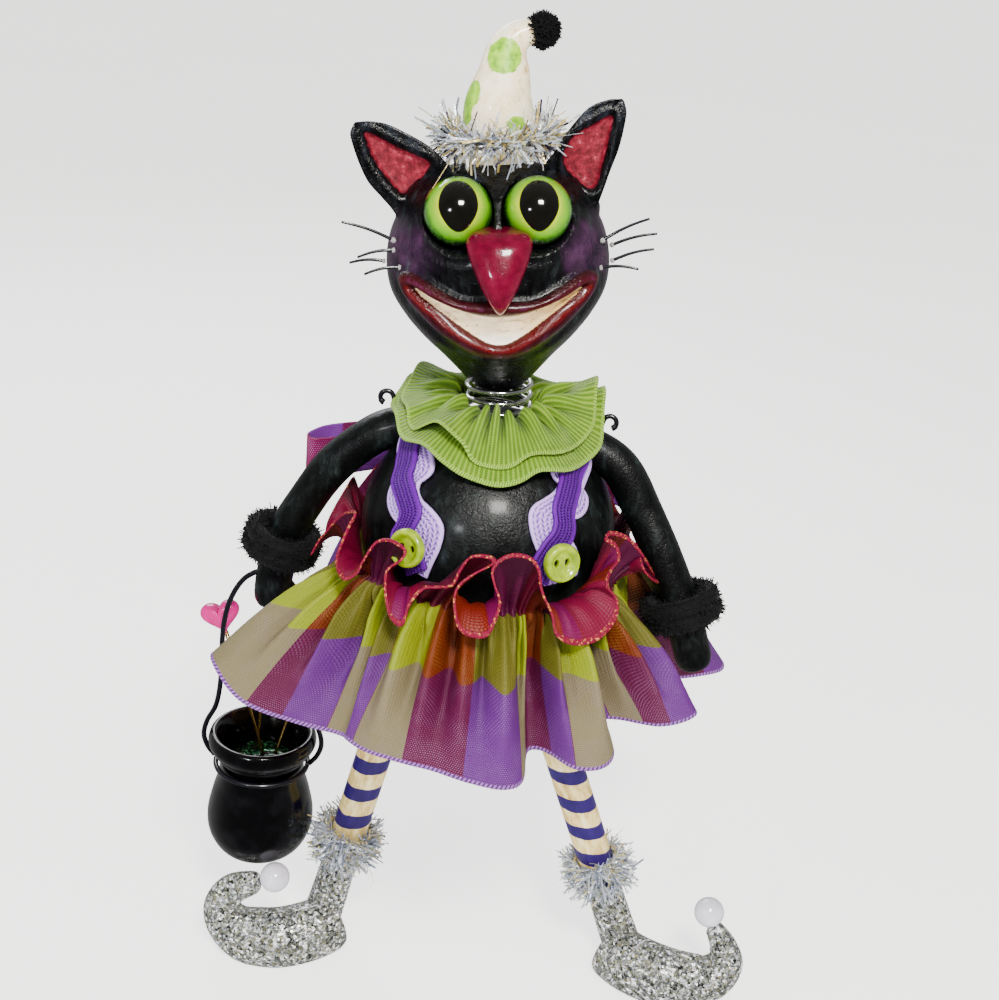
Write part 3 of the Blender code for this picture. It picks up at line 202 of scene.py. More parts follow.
def inside_by(x, z, outline):
    """How deep points lie inside a closed outline, below 0 outside it.

    The depth is the least distance to a side, and the sign comes from how many sides a line to
    the right of the point crosses.
    """
    start = np.asarray(outline, float)
    side = np.roll(start, -1, axis=0) - start
    across = x[..., None] - start[:, 0]
    up = z[..., None] - start[:, 1]
    share = np.clip((across * side[:, 0] + up * side[:, 1]) / (side ** 2).sum(1), 0, 1)
    gap = np.hypot(across - share * side[:, 0], up - share * side[:, 1]).min(-1)
    spans = (up < 0) != (up < side[:, 1])
    rise = np.where(side[:, 1] == 0, 1e-9, side[:, 1])
    crossed = spans & (across < up * side[:, 0] / rise)
    return np.where(crossed.sum(-1) % 2 == 1, gap, -gap)


def ease(value, low, high):
    """0 up to low, 1 from high, and 3t^2 - 2t^3 between."""
    t = np.clip((np.asarray(value, float) - low) / (high - low), 0, 1)
    return t * t * (3 - 2 * t)


def skin(rings):
    """Closed surface over rings of points, rings x points x 3, with a fan over each end."""
    count, around = rings.shape[:2]
    row = np.arange(count - 1)[:, None] * around
    here = np.arange(around)[None, :]
    after = np.roll(here, -1, axis=1)
    walls = np.stack([row + here, row + after, row + around + after, row + around + here], -1)
    first = count * around
    start = np.stack([np.full(around, first), after[0], here[0]], -1)
    last = (count - 1) * around
    end = np.stack([np.full(around, first + 1), last + here[0], last + after[0]], -1)
    points = np.vstack([rings.reshape(-1, 3), rings[0].mean(0), rings[-1].mean(0)])
    return points, [walls.reshape(-1, 4), start, end]


def joined(parts):
    """One list of points and faces out of several, each kept as an island of its own."""
    points = []
    faces = []
    first = 0
    for more_points, more_faces in parts:
        points.append(more_points)
        faces += [block + first for block in more_faces]
        first += len(more_points)
    return np.vstack(points), faces


def shape(name, points, faces, finish, marks=None, cloth=None, smooth=True):
    """A mesh piece from points in millimetres.

    Marks are numbers kept at every point for its paint, and cloth is a place on the flat cloth
    for each corner of each face.
    """
    points = np.asarray(points, float)
    corners = np.concatenate([block.ravel() for block in faces])
    sides = np.concatenate([np.full(len(block), block.shape[1]) for block in faces])
    mesh = bpy.data.meshes.new(name)
    mesh.vertices.add(len(points))
    mesh.vertices.foreach_set("co", world(points).ravel())
    mesh.loops.add(len(corners))
    mesh.loops.foreach_set("vertex_index", corners.astype(np.int32))
    mesh.polygons.add(len(sides))
    mesh.polygons.foreach_set("loop_start", (np.cumsum(sides) - sides).astype(np.int32))
    mesh.polygons.foreach_set("loop_total", sides.astype(np.int32))
    mesh.polygons.foreach_set("use_smooth", np.full(len(sides), smooth))
    for label, numbers in (marks or {}).items():
        numbers = np.asarray(numbers, float)
        if numbers.ndim == 1:
            mesh.attributes.new(label, "FLOAT", "POINT").data.foreach_set("value", numbers)
        else:
            made = mesh.attributes.new(label, "FLOAT_VECTOR", "POINT")
            made.data.foreach_set("vector", numbers.ravel())
    if cloth is not None:
        mesh.uv_layers.new(name="cloth").data.foreach_set("uv", np.asarray(cloth, float).ravel())
    mesh.update(calc_edges=True)
    piece = bpy.data.objects.new(name, mesh)
    bpy.context.scene.collection.objects.link(piece)
    mesh.materials.append(finish.material)
    return piece


def dress(piece, slot, *nodes):
    """Fixes a piece to the doll in place of its plain solids."""
    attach(piece, "root")
    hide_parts(*nodes)


class Value:
    """What one socket of a finish gives out. Each sum or product of it is a node of its own."""

    def __init__(self, finish, socket):
        self.finish = finish
        self.socket = socket

    def work(self, sort, first, second):
        """A Math node, or a Vector Math node where either side is a colour or a place."""
        wide = False
        for given in (first, second):
            if isinstance(given, Value):
                wide = wide or given.socket.type != "VALUE"
            else:
                wide = wide or isinstance(given, tuple)
        if not wide:
            return self.finish.node("Math", {0: first, 1: second}, operation=sort)
        sides = []
        for given in (first, second):
            if isinstance(given, (int, float)):
                given = (given, given, given)
            sides.append(given[:3] if isinstance(given, tuple) else given)
        return self.finish.node("VectorMath", {0: sides[0], 1: sides[1]}, operation=sort)

    def __add__(self, other):
        return self.work("ADD", self, other)

    def __radd__(self, other):
        return self.work("ADD", other, self)

    def __sub__(self, other):
        return self.work("SUBTRACT", self, other)

    def __rsub__(self, other):
        return self.work("SUBTRACT", other, self)

    def __mul__(self, other):
        return self.work("MULTIPLY", self, other)

    def __rmul__(self, other):
        return self.work("MULTIPLY", other, self)

    def __truediv__(self, other):
        return self.work("DIVIDE", self, other)

    def __rtruediv__(self, other):
        return self.work("DIVIDE", other, self)

    def __pow__(self, other):
        return self.work("POWER", self, other)

    def __mod__(self, other):
        return self.work("FLOORED_MODULO", self, other)

    def __abs__(self):
        return self.finish.node("Math", {0: self}, operation="ABSOLUTE")

    def wave(self, pitch):
        """From 0 to 1 and back once in each pitch: half of 1 + sin(2 pi value / pitch)."""
        turned = self * (2 * np.pi / pitch)
        return self.finish.node("Math", {0: turned}, operation="SINE") * 0.5 + 0.5

    def whole(self):
        """The whole number at or below it."""
        return self.finish.node("Math", {0: self}, operation="FLOOR")

    def size(self):
        """The length of a place."""
        return self.finish.node("VectorMath", {0: self}, "Value", operation="LENGTH")

    def part(self, which):
        """The X, Y or Z of a place."""
        return self.finish.node("SeparateXYZ", {0: self}, which)

    def rise(self, low, high):
        """0 up to low and 1 from high, or the other way round where low is the larger."""
        return self.finish.node("MapRange", {"Value": self, "From Min": low, "From Max": high},
                                interpolation_type="SMOOTHSTEP")

    def blend(self, first, second):
        """The first colour where this is 0, the second where it is 1."""
        return self.finish.node("Mix", {0: self, 6: first, 7: second}, 2, data_type="RGBA")


class Finish:
    """A procedural material. What is the same all over is set on the shader from the start."""

    def __init__(self, name, held=None):
        self.material = bpy.data.materials.new(name)
        self.material.use_nodes = True
        self.tree = self.material.node_tree
        self.shader = self.tree.nodes["Principled BSDF"]
        for label, number in (held or {}).items():
            self.shader.inputs[label].default_value = number

    def node(self, kind, given=None, out=0, **settings):
        """Any shader node: its kind, what goes into its inputs, which output, its settings."""
        made = self.tree.nodes.new("ShaderNode" + kind)
        for label, setting in settings.items():
            setattr(made, label, setting)
        for label, number in (given or {}).items():
            if isinstance(number, Value):
                self.tree.links.new(number.socket, made.inputs[label])
            else:
                made.inputs[label].default_value = number
        return Value(self, made.outputs[out])

    def spot(self):
        """The place on the doll in millimetres of the shared frame."""
        return self.node("TexCoord", {}, "Object") * 1000.0

    def mark(self, label, out="Fac"):
        """A number kept at the points of the mesh."""
        return self.node("Attribute", {}, out, attribute_name=label)

    def noise(self, size, at=None, detail=3.0, rough=0.55):
        """Cloudy noise whose largest blots are about so many millimetres."""
        place = self.spot() if at is None else at
        given = {"Vector": place, "Scale": 1 / size, "Detail": detail, "Roughness": rough}
        return self.node("TexNoise", given)

    def cells(self, size, at, out="Distance"):
        """Cells about so many millimetres across."""
        return self.node("TexVoronoi", {"Vector": at, "Scale": 1 / size}, out)

    def mixed(self, *stops, by):
        """A colour ramp: pairs of a share and a colour."""
        ramp = self.node("ValToRGB", {0: by})
        marks = ramp.socket.node.color_ramp.elements
        for index, (share, tint) in enumerate(stops):
            stop = marks[index] if index < 2 else marks.new(share)
            stop.position = share
            stop.color = tint
        return ramp

    def paint(self, depth=0.1, **looks):
        """Links what varies to the shader; height is in the bump's own depth in millimetres."""
        sockets = {"base": "Base Color", "rough": "Roughness", "metal": "Metallic",
                   "coat": "Coat Weight", "glow": "Emission Color"}
        height = looks.pop("height", None)
        if height is not None:
            given = {"Height": height, "Distance": depth * MM, "Strength": 1.0}
            bump = self.node("Bump", given)
            self.tree.links.new(bump.socket, self.shader.inputs["Normal"])
        for label, number in looks.items():
            if isinstance(number, Value):
                self.tree.links.new(number.socket, self.shader.inputs[sockets[label]])
            else:
                self.shader.inputs[sockets[label]].default_value = number


def both_halves(edge):
    """A closed outline from its right half, which runs from the middle above to below."""
    half = np.asarray(edge, float)
    return along(np.vstack([half, half[-2:0:-1] * (-1, 1)]), 150, closed=True)


def skull_width(level):
    """Half width of the skull at a level."""
    line = along(SKULL, 400)
    return np.interp(level, line[::-1, 1], line[::-1, 0])


def on_head(points):
    """Points of the head's own frame, in the doll's."""
    return np.asarray(points, float) @ HEAD_TURN.T + HEAD_AT


def skull_rings():
    """The skull, its lips, teeth, jaw and eye sockets, with its paint marks.

    A point at turn t of a ring of half width w is (w sin t, -0.89 w cos t). The lips are beads
    between two outlines: where the depths inside them are a and -b, a bead of height h stands
    h sin(pi a / (a + b))^0.7 out, and the teeth lie behind it. The jaw is a soft bell, the brow
    over each eye is two rings of it, and each socket is a part of a ball cut into the face.
    """
    shares = np.interp(np.linspace(0, 1, 216), (0, 0.34, 0.82, 1), (0, 0.46, 0.79, 1))
    line = along(SKULL, shares)
    turns = np.interp(np.linspace(0, 1, 300, endpoint=False), (0, 0.1, 0.9, 1),
                      (-np.pi, -1.75, 1.75, np.pi))
    wide = np.maximum(line[:, :1], 0.05)
    x = wide * np.sin(turns)
    y = -FACE_DEPTH * wide * np.cos(turns)
    z = np.broadcast_to(line[:, 1:], x.shape).copy()
    front = np.clip(-y / 12, 0, 1)
    lips = inside_by(x, z, both_halves(LIP_EDGE))
    teeth = inside_by(x, z, both_halves(TEETH_EDGE))
    lips = np.where(y < 0, lips, OUTSIDE)
    teeth = np.where(y < 0, teeth, OUTSIDE)
    share = np.clip(lips, 0, None) / np.maximum(lips - np.minimum(teeth, 0), 0.01)
    bead = np.where(teeth < 0, np.sin(np.pi * np.clip(share, 0, 1)) ** 0.7, 0)
    tall = UPPER_LIP + (LOWER_LIP - UPPER_LIP) * ease(z, -4, -8)
    jaw = JAW * np.exp(-(x / 13) ** 2 - ((z + 12.5) / 6) ** 2)
    groove = 0.5 * ease(lips, 0, -1.2) * ease(lips, -3.0, -1.2)
    push = front * (jaw + tall * bead - ease(teeth, 0, 0.5) - groove)
    gap = np.hypot(np.abs(x) - EYE_AT[0], z - EYE_AT[2])
    rim = 0.55 * np.exp(-((gap - 8.1) / 0.7) ** 2) + 0.3 * np.exp(-((gap - 10.4) / 1.2) ** 2)
    push += front * rim
    out = np.hypot(x, y)
    x += push * x / out
    y += push * y / out
    ear_root = ease(np.abs(x), 9, 12) * ease(z, 12, 15) * np.exp(-((y + 2) / 3.2) ** 2)
    away = np.hypot(x, z - 6) + 0.01
    x, z = x + 1.6 * ear_root * x / away, z + 1.6 * ear_root * (z - 6) / away
    deep = SOCKET_RADIUS ** 2 - (np.abs(x) - EYE_AT[0]) ** 2 - (z - EYE_AT[2]) ** 2
    far = EYE_AT[1] + np.sqrt(np.maximum(deep, 0))
    y = np.where((deep > 0) & (y < EYE_AT[1] + 2) & (z > 4), far, y)
    return np.stack([x, y, z], -1), lips, teeth


def ear_rings(side):
    """One ear, root to tip, on oval rings between its inner and its outer edge.

    At turn t a point lies at share (1 + cos t) / 2 from the inner edge to the outer one and
    stands sin t of the half thickness out, and the rose field is sunk behind the rim.
    """
    rows = np.linspace(0, 1, 60)
    outer = along(EAR_OUTER[side], rows)[:, None]
    inner = along(EAR_INNER[side], rows)[:, None]
    turns = np.linspace(0, 2 * np.pi, 88, endpoint=False)
    share = (1 + np.cos(turns))[None, :, None] / 2
    flat = inner + (outer - inner) * share
    middle = (inner + outer) / 2
    closing = np.sqrt(np.clip(1 - ((rows - 0.9) / 0.104) ** 2, 0.004, 1))
    closing = np.where(rows > 0.9, closing, 1)[:, None]
    flat = middle + (flat - middle) * closing[..., None]
    x, z = flat[..., 0], flat[..., 1]
    rose = inside_by(x, z, along(EAR_ROSE[side], 60, closed=True))
    half = (1.75 - 0.75 * rows)[:, None] * closing
    middle_y = -1.8 - 2.6 * np.cos(turns) ** 2 * (1 - 0.75 * rows[:, None])
    facing = np.sin(turns)[None, :] * np.ones_like(x)
    rim = 0.45 * np.exp(-((rose + 1.1) / 0.8) ** 2)
    lift = half * np.sign(facing) * np.abs(facing) ** 0.75
    y = middle_y - lift - np.where(facing > 0, rim - 1.3 * ease(rose, -0.35, 0.7), 0)
    rings = np.stack([x, y, z], -1)
    if side > 0:
        rings = rings[:, ::-1]
        rose = rose[:, ::-1]
        facing = facing[:, ::-1]
    return rings, np.where(facing > 0, rose, OUTSIDE)


black_clay = Finish("black_clay_paint", {"Specular IOR Level": 0.22, "Coat Roughness": 0.12})


def paint_head(paint):
    """Black satin clay, blush, lips, teeth and rose ears by the marks on the mesh: how deep each
    point lies inside the outline of the lips, of the teeth and of the rose field."""
    place = paint.mark("face", "Vector")
    lips = paint.mark("lips")
    teeth = paint.mark("teeth")
    rose = paint.mark("rose")
    wide = abs(place.part("X"))
    level = place.part("Z")
    strokes = paint.noise(2.2, place * (1.0, 1.0, 0.28), 4.0, 0.65)
    fine = paint.noise(0.5, place, 2.0)
    blots = paint.noise(5.0, place + (40.0, 0.0, 0.0), 3.0)
    black = paint.mixed((0.40, colour(2, 2, 3)), (0.56, colour(7, 8, 9)),
                        (0.67, colour(24, 30, 32)), (0.80, colour(58, 70, 76)), by=strokes)
    cheek = ((wide - 20.0) * (wide - 20.0) * 0.9 + (level - 7.5) * (level - 7.5)) ** 0.5
    cheek = (cheek + (strokes - 0.5) * 12.0).rise(8.0, 2.5) * 0.8
    blush = (blots * 0.6 + strokes * 0.4).rise(0.35, 0.7)
    blush = blush.blend(colour(18, 4, 24), colour(72, 38, 70))
    skin_tone = cheek.blend(black, blush)
    # Painted sheen: blue-grey strokes over the crown and the tops of the ears.
    brow = (level + blots * 6.0).rise(21.0, 27.0) * strokes.rise(0.45, 0.7) * 0.5
    skin_tone = brow.blend(skin_tone, colour(26, 30, 46))
    edge = lips / (lips - teeth)
    wander = edge + (blots - 0.5) * 0.25
    lower = paint.mixed((0.0, colour(20, 0, 4)), (0.34, colour(32, 0, 7)),
                        (0.58, colour(38, 0, 5)), (0.74, colour(78, 0, 3)),
                        (1.0, colour(54, 0, 2)), by=wander)
    upper = paint.mixed((0.0, colour(30, 0, 4)), (0.45, colour(54, 1, 8)),
                        (0.8, colour(36, 0, 4)), (1.0, colour(14, 0, 1)), by=wander)
    red = (level - wide * 0.44 + 7.6).rise(-0.4, 0.4).blend(lower, upper)
    # Painted highlight: violet streaks along the middle of the lip bead, where the strokes run
    # high.
    lip_ridge_highlight = edge.rise(0.2, 0.4) * edge.rise(0.62, 0.5) * (strokes + fine * 0.3).rise(0.62, 0.85)
    red = (lip_ridge_highlight * 0.35).blend(red, colour(96, 30, 84))
    lipped = (lips + (fine - 0.5) * 0.3).rise(0.0, 0.16)
    gold = (place.part("X") + (blots - 0.5) * 10.0).rise(1.0, 12.0) * 0.75
    ivory = gold.blend(colour(228, 206, 166), colour(196, 152, 70))
    stain = paint.noise(1.3, place * (0.45, 1.0, 1.5), 5.0, 0.7)
    ivory = (stain.rise(0.46, 0.66) * 0.65).blend(ivory, colour(146, 104, 66))
    foot = (level + 11.0).rise(3.6, 0.8)
    ivory = (foot * 0.7).blend(ivory, colour(252, 246, 234))
    specks = paint.cells(2.6, place).rise(0.09, 0.05)
    ivory = (specks * 0.85).blend(ivory, colour(48, 30, 26))
    toothed = (teeth + (fine - 0.5) * 0.25).rise(0.0, 0.14)
    velvet = paint.noise(1.6, place, 5.0, 0.7)
    pink = paint.mixed((0.28, colour(58, 2, 12)), (0.46, colour(98, 8, 26)),
                       (0.60, colour(130, 24, 44)), (0.76, colour(196, 96, 112)), by=velvet)
    rosy = (rose + (velvet - 0.5) * 0.9).rise(0.0, 0.3)
    base = rosy.blend(toothed.blend(lipped.blend(skin_tone, red), ivory), pink)
    dull = (strokes - 0.5) * 0.35 + 0.30 + cheek * 0.12
    rough = dull * (1.0 - lipped) + lipped * (strokes * 0.4 + 0.12)
    rough = rough * (1.0 - toothed) + toothed * 0.42
    rough = rough * (1.0 - rosy) + rosy * 0.55
    coat = lipped * (1.0 - toothed) * 0.3 + (1.0 - lipped) * (1.0 - rosy) * 0.12
    height = strokes * 0.7 + fine * 0.35 + blots * 0.5
    paint.paint(0.5, base=base, rough=rough, coat=coat, height=height)


def build_head():
    """Skull and ears as one painted piece; a mark of OUTSIDE is far from that paint."""
    rings, lips, teeth = skull_rings()
    skull_points, skull_faces = skin(rings[:, ::-1])
    flipped = [block[:, ::-1] for block in skull_faces]
    parts = [(skull_points, flipped)]
    at_ends = (OUTSIDE, OUTSIDE)
    roses = [np.full(len(skull_points), OUTSIDE)]
    lip_marks = [np.append(lips[:, ::-1].ravel(), at_ends)]
    teeth_marks = [np.append(teeth[:, ::-1].ravel(), at_ends)]
    for side in (-1, 1):
        ear, rose = ear_rings(side)
        parts.append(skin(ear))
        roses.append(np.append(rose.ravel(), at_ends))
        lip_marks.append(np.full(rose.size + 2, OUTSIDE))
        teeth_marks.append(np.full(rose.size + 2, OUTSIDE))
    points, faces = joined(parts)
    marks = {"face": points, "lips": np.concatenate(lip_marks),
             "teeth": np.concatenate(teeth_marks), "rose": np.concatenate(roses)}
    paint_head(black_clay)
    return shape("clay_head", on_head(points), faces, black_clay, marks)


dress(build_head(), "black_clay", "head")


# The nose: a long tongue of clay laid over the face from between the eyes to the teeth, broad
# and round above and pointed below, in glossy raspberry paint.
NOSE = [(13.6, 0.3, 0.4), (13.5, 3.2, 1.6), (13.1, 5.2, 3.4), (12.2, 6.4, 4.8), (10.8, 6.8, 5.8),
        (8, 6.1, 6.5), (5, 4.9, 7.1), (2, 3.6, 7.2), (-0.5, 2.3, 6.4), (-2.3, 1.2, 4.8),
        (-3.1, 0.4, 3.4)]
NOSE_BACK = 2.4


def nose_rings():
    """Rings from the top down. At turn t a point lies half width times sin t to the power 0.85
    across, and cos t to the power 0.62 out in front, so that the sides are squared off."""
    line = along(NOSE, 60)
    turns = np.linspace(0, 2 * np.pi, 72, endpoint=False)
    side = np.sign(np.sin(turns)) * np.abs(np.sin(turns)) ** 0.85
    reach = np.sign(np.cos(turns)) * np.abs(np.cos(turns)) ** 0.62
    face = -FACE_DEPTH * skull_width(line[:, 0])[:, None]
    out = np.where(reach > 0, line[:, 2:3] * reach, NOSE_BACK * reach)
    x = line[:, 1:2] * side + 0.25
    z = line[:, :1] + 0.12 * np.maximum(out, 0) * ease(line[:, :1], 6, 13)
    return np.stack([x, face - out, z * np.ones_like(x)], -1)


raspberry = Finish("raspberry_gloss", {"Specular IOR Level": 0.1, "Coat Weight": 0.45,
                                       "Coat Roughness": 0.05})
blots = raspberry.noise(2.4, detail=4.0)
grain = raspberry.noise(0.35, detail=2.0)
crimson = raspberry.mixed((0.3, colour(62, 0, 19)), (0.5, colour(84, 3, 29)),
                          (0.75, colour(104, 12, 42)), by=blots * 0.8 + grain * 0.2)
raspberry.paint(0.12, base=crimson, rough=0.22, height=blots * 0.7 + grain * 0.3)
points, faces = skin(nose_rings()[:, ::-1])
nose = shape("clay_nose", on_head(points), [block[:, ::-1] for block in faces], raspberry)
dress(nose, "black_clay", "head")


# The eyes: glossy balls in their sockets, lime green rims round tall black pupils that look up
# at the viewer, under clear lacquer.
GAZE = np.array([0.03, -0.915, 0.40])
PUPIL = (4.05, 5.3)


def eye_ball(centre):
    """A ball whose pole looks along the gaze, with each point's place across and up the iris."""
    tilt = np.linspace(0.004, np.pi - 0.004, 72)[:, None]
    turns = np.linspace(0, 2 * np.pi, 96, endpoint=False)[None, :]
    ahead = GAZE / np.linalg.norm(GAZE)
    across = np.cross(ahead, (0, 0, 1))
    across /= -np.linalg.norm(across)
    up = np.cross(ahead, across)
    up *= np.sign(up[2])
    flat = np.sin(tilt)
    places = ((flat * np.cos(turns))[..., None] * across + (flat * np.sin(turns))[..., None] * up
              + (np.cos(tilt) * np.ones_like(turns))[..., None] * ahead)
    spread = EYE_RADIUS * np.where(tilt < np.pi / 2, flat, 2 - flat)
    iris = np.stack([spread * np.cos(turns), spread * np.sin(turns), 0 * turns * tilt], -1)
    points, faces = skin(centre + EYE_RADIUS * places)
    return points, faces, np.vstack([iris.reshape(-1, 3), (0, 0, 0), (0, 99, 0)])


lime_eye = Finish("lime_eye_gloss", {"Specular IOR Level": 0.2, "Coat Weight": 0.9,
                                     "Coat Roughness": 0.02})
iris = lime_eye.mark("iris", "Vector")
spread = iris.size()
cloud = lime_eye.noise(3.2, detail=4.0)
narrow = 1.0 - (iris.part("Y") * -0.035).rise(0.0, 0.25) * 0.22
pupil = ((iris.part("X") / (PUPIL[0] * narrow)) ** 2.0 + (iris.part("Y") / PUPIL[1]) ** 2.0) ** 0.5
rim = lime_eye.mixed((0.0, colour(158, 176, 0)), (0.28, colour(116, 160, 0)),
                     (0.58, colour(86, 146, 0)), (0.82, colour(34, 84, 0)),
                     (0.96, colour(8, 28, 0)), by=(spread - 4.2) / 3.0 + (cloud - 0.5) * 0.5)
tawny = cloud.rise(0.52, 0.70) * pupil.rise(1.35, 1.0) * 0.5
green = tawny.blend(rim, colour(150, 128, 26))
deep = lime_eye.noise(2.0).blend(colour(2, 2, 2), colour(12, 11, 6))
lime_eye.paint(0.05, base=pupil.rise(0.97, 1.02).blend(deep, green), rough=0.12, height=cloud)
for side, label in ((-1, "left_eye"), (1, "right_eye")):
    points, faces, marks = eye_ball(EYE_AT * (side, 1, 1))
    eye = shape("glass_" + label, on_head(points), faces, lime_eye, {"iris": marks})
    dress(eye, "lime_eye", label)


# The whiskers: eight tapered bristles of stiff dark wire, glued into the cheeks with a bead of
# clear glue each.
BRISTLES = [(-1, 66, 9.0, -10.9, 4.4), (-1, 64, 7.2, -7.8, -1.2), (-1, 79.6, 3.6, -7.6, -0.2),
            (-1, 56, 4.2, -7.6, -1.1), (1, 65.8, 8.6, 9.9, 4.9), (1, 84, 6.2, 9.9, 2.5),
            (1, 79.4, 3.2, 9.1, 2.6), (1, 60.3, 3.4, 8.0, -0.1)]
BRISTLE_RADIUS = 0.38


def tube(path, radius, around=12, reference=(0.0, 0.3, 1.0)):
    """Rings of a round rod along a path; the radius may change along it.

    At each station the ring is side cos t + above sin t, with the side square to the path and
    to a fixed reference, so that the rod doesn't twist.
    """
    path = np.asarray(path, float)
    ahead = np.gradient(path, axis=0)
    ahead /= np.linalg.norm(ahead, axis=1, keepdims=True)
    side = np.cross(reference, ahead)
    side /= np.linalg.norm(side, axis=1, keepdims=True)
    above = np.cross(ahead, side)
    turns = np.linspace(0, 2 * np.pi, around, endpoint=False)[None, :, None]
    ring = side[:, None] * np.cos(turns) + above[:, None] * np.sin(turns)
    return path[:, None] + ring * (np.ones(len(path)) * radius)[:, None, None]


def bristle(side, azimuth, level, dx, dz):
    """The path of one whisker: straight out of the cheek with a slight droop to its tip."""
    wide = skull_width(level)
    turned = np.radians(azimuth)
    foot = np.array([side * wide * np.sin(turned), -FACE_DEPTH * wide * np.cos(turned), level])
    out = foot / wide * (1, 1, 0)
    share = np.linspace(0, 1, 24)[:, None]
    reach = np.array([dx, 0.35 * out[1] * abs(dx), dz])
    sag = np.array([0, 0, 0.5]) * np.sin(np.pi * share)
    return foot + 0.55 * out + reach * share + sag


bristle_black = Finish("bristle_lacquer", {"Coat Weight": 0.6})
tone = bristle_black.noise(1.5)
bristle_black.paint(0.03, base=tone.blend(colour(3, 3, 5), colour(14, 14, 24)), rough=0.3,
                    height=tone)
glue = Finish("clear_glue", {"Transmission Weight": 0.6, "Roughness": 0.05, "IOR": 1.45})
milk = glue.noise(0.8)
glue.paint(0.05, base=milk.blend(colour(170, 160, 160), colour(235, 235, 235)), height=milk)
wires = []
drops = []
for number in BRISTLES:
    path = bristle(*number)
    wires.append(skin(tube(path, BRISTLE_RADIUS * np.linspace(1.0, 0.7, 24))))
    turns = np.linspace(-np.pi / 2, np.pi / 2, 12)
    middle = path[0] + (path[1] - path[0]) * 0.6
    bead = middle + (path[2] - path[0]) * np.sin(turns)[:, None] * 0.6
    drops.append(skin(tube(bead, 0.58 * np.cos(turns) + 0.01)))
points, faces = joined(wires)
whiskers = shape("bristle_whiskers", on_head(points), faces, bristle_black)
names = [f"{'left' if side < 0 else 'right'}_whisker_{number}"
         for side in (-1, 1) for number in (1, 2, 3, 4)]
dress(whiskers, "whisker_wire", *names)
points, faces = joined(drops)
drops = shape("whisker_glue_beads", on_head(points), faces, glue)
dress(drops, "whisker_wire", *names)


# The hat: a bent cone of cream clay, dabbed with lime spots and lacquered, standing on the
# crown of the head.
HAT = [(0.2, 24.6, 8.3), (0.2, 25.4, 8.1), (0.4, 30, 7.75), (0.4, 35.6, 7.2), (1.5, 41.5, 5.6),
       (2.1, 45.8, 4.5), (3.6, 48.6, 3.6), (5.8, 50, 2.9), (7.9, 50.3, 2.5)]
HAT_SPOTS = [(1.6, -4.0, 46.0, 3.7), (-6.0, -3.4, 38.5, 3.2), (-7.2, -2.6, 34.5, 3.0),
             (4.2, -6.6, 32.0, 2.4), (7.0, 1.5, 38.5, 2.6), (-1.0, 6.8, 41.0, 3.2),
             (4.0, 6.5, 33.5, 2.8), (-6.0, 5.0, 32.5, 2.6)]
cream_clay = Finish("cream_clay_lacquer", {"Coat Roughness": 0.1, "Coat Weight": 0.5})
place = cream_clay.mark("face", "Vector")
blots = cream_clay.noise(1.8, place, 4.0, 0.65)
broad = cream_clay.noise(6.0, place, 3.0)
base = cream_clay.mixed((0.32, colour(186, 150, 96)), (0.46, colour(236, 218, 176)),
                        (0.66, colour(250, 244, 220)), by=broad * 0.55 + blots * 0.45)
spotted = None
for x, y, z, radius in HAT_SPOTS:
    near = ((place - (float(x), float(y), float(z))).size() + (blots - 0.5) * 1.6)
    near = near.rise(radius + 0.35, radius - 0.35)
    spotted = near if spotted is None else spotted + near
spotted = spotted.rise(0.1, 0.9)
limes = cream_clay.mixed((0.3, colour(84, 132, 0)), (0.5, colour(132, 188, 4)),
                         (0.72, colour(172, 212, 44)), by=blots)
cream_clay.paint(0.4, base=spotted.blend(base, limes), rough=blots * 0.3 + 0.25,
                 height=broad + blots * 0.35)
line = along(HAT, 70)
path = np.stack([line[:, 0], 0 * line[:, 0], line[:, 1]], -1)
points, faces = skin(tube(path, line[:, 2], 72, (0.0, 1.0, 0.0)))
hat = shape("clay_party_hat", on_head(points), faces, cream_clay, {"face": points})
dress(hat, "cream_clay", "hat")


# The tinsel round the foot of the hat: a ring of crinkled foil strips, silver with some pale
# gold ones and some near black as painted reflection, bound on a thin core. The pompom on the
# tip is clipped black chenille, its fibres on a round core.
chance = np.random.default_rng(7)
TINSEL_AT = (0.4, -0.6, 29.2)
TINSEL_RADIUS = 9.6


def strips(paths, wide, thick, facing):
    """Flat closed strips along many paths at once, strips x stations x 3.

    Each ring has four corners, half the width along the facing and half the thickness square to
    it and to the path.
    """
    ahead = np.gradient(paths, axis=1)
    ahead /= np.linalg.norm(ahead, axis=2, keepdims=True)
    across = np.cross(facing[:, None], ahead)
    across /= np.maximum(np.linalg.norm(across, axis=2, keepdims=True), 1e-6)
    up = np.cross(ahead, across)
    wide = np.reshape(wide, (-1, 1, 1)) / 2
    across, up = across * wide, up * thick / 2
    rings = np.stack([across + up, up - across, -across - up, across - up], 2)
    rings += paths[:, :, None]
    count, stations = paths.shape[:2]
    each = stations * 4
    row = np.arange(stations - 1)[:, None] * 4
    here = np.arange(4)[None, :]
    after = np.roll(here, -1, axis=1)
    walls = np.stack([row + here, row + after, row + 4 + after, row + 4 + here], -1).reshape(-1, 4)
    ends = np.array([[3, 2, 1, 0], [each - 4, each - 3, each - 2, each - 1]])
    block = np.vstack([walls, ends])
    faces = (block[None] + (np.arange(count) * each)[:, None, None]).reshape(-1, 4)
    return rings.reshape(-1, 3), [faces], each


def tuft_paths(roots, aims, lengths, curl, stations):
    """Paths from roots along aims, each bent by a random curl that grows with the square of the
    way along."""
    share = np.linspace(0, 1, stations)[None, :, None]
    bend = chance.normal(size=(len(roots), 1, 3)) * curl
    lengths = np.reshape(lengths, (-1, 1, 1))
    return roots[:, None] + aims[:, None] * lengths * share + bend * lengths * share ** 2


def unit(vectors):
    """Each vector over its own length."""
    return vectors / np.linalg.norm(vectors, axis=-1, keepdims=True)


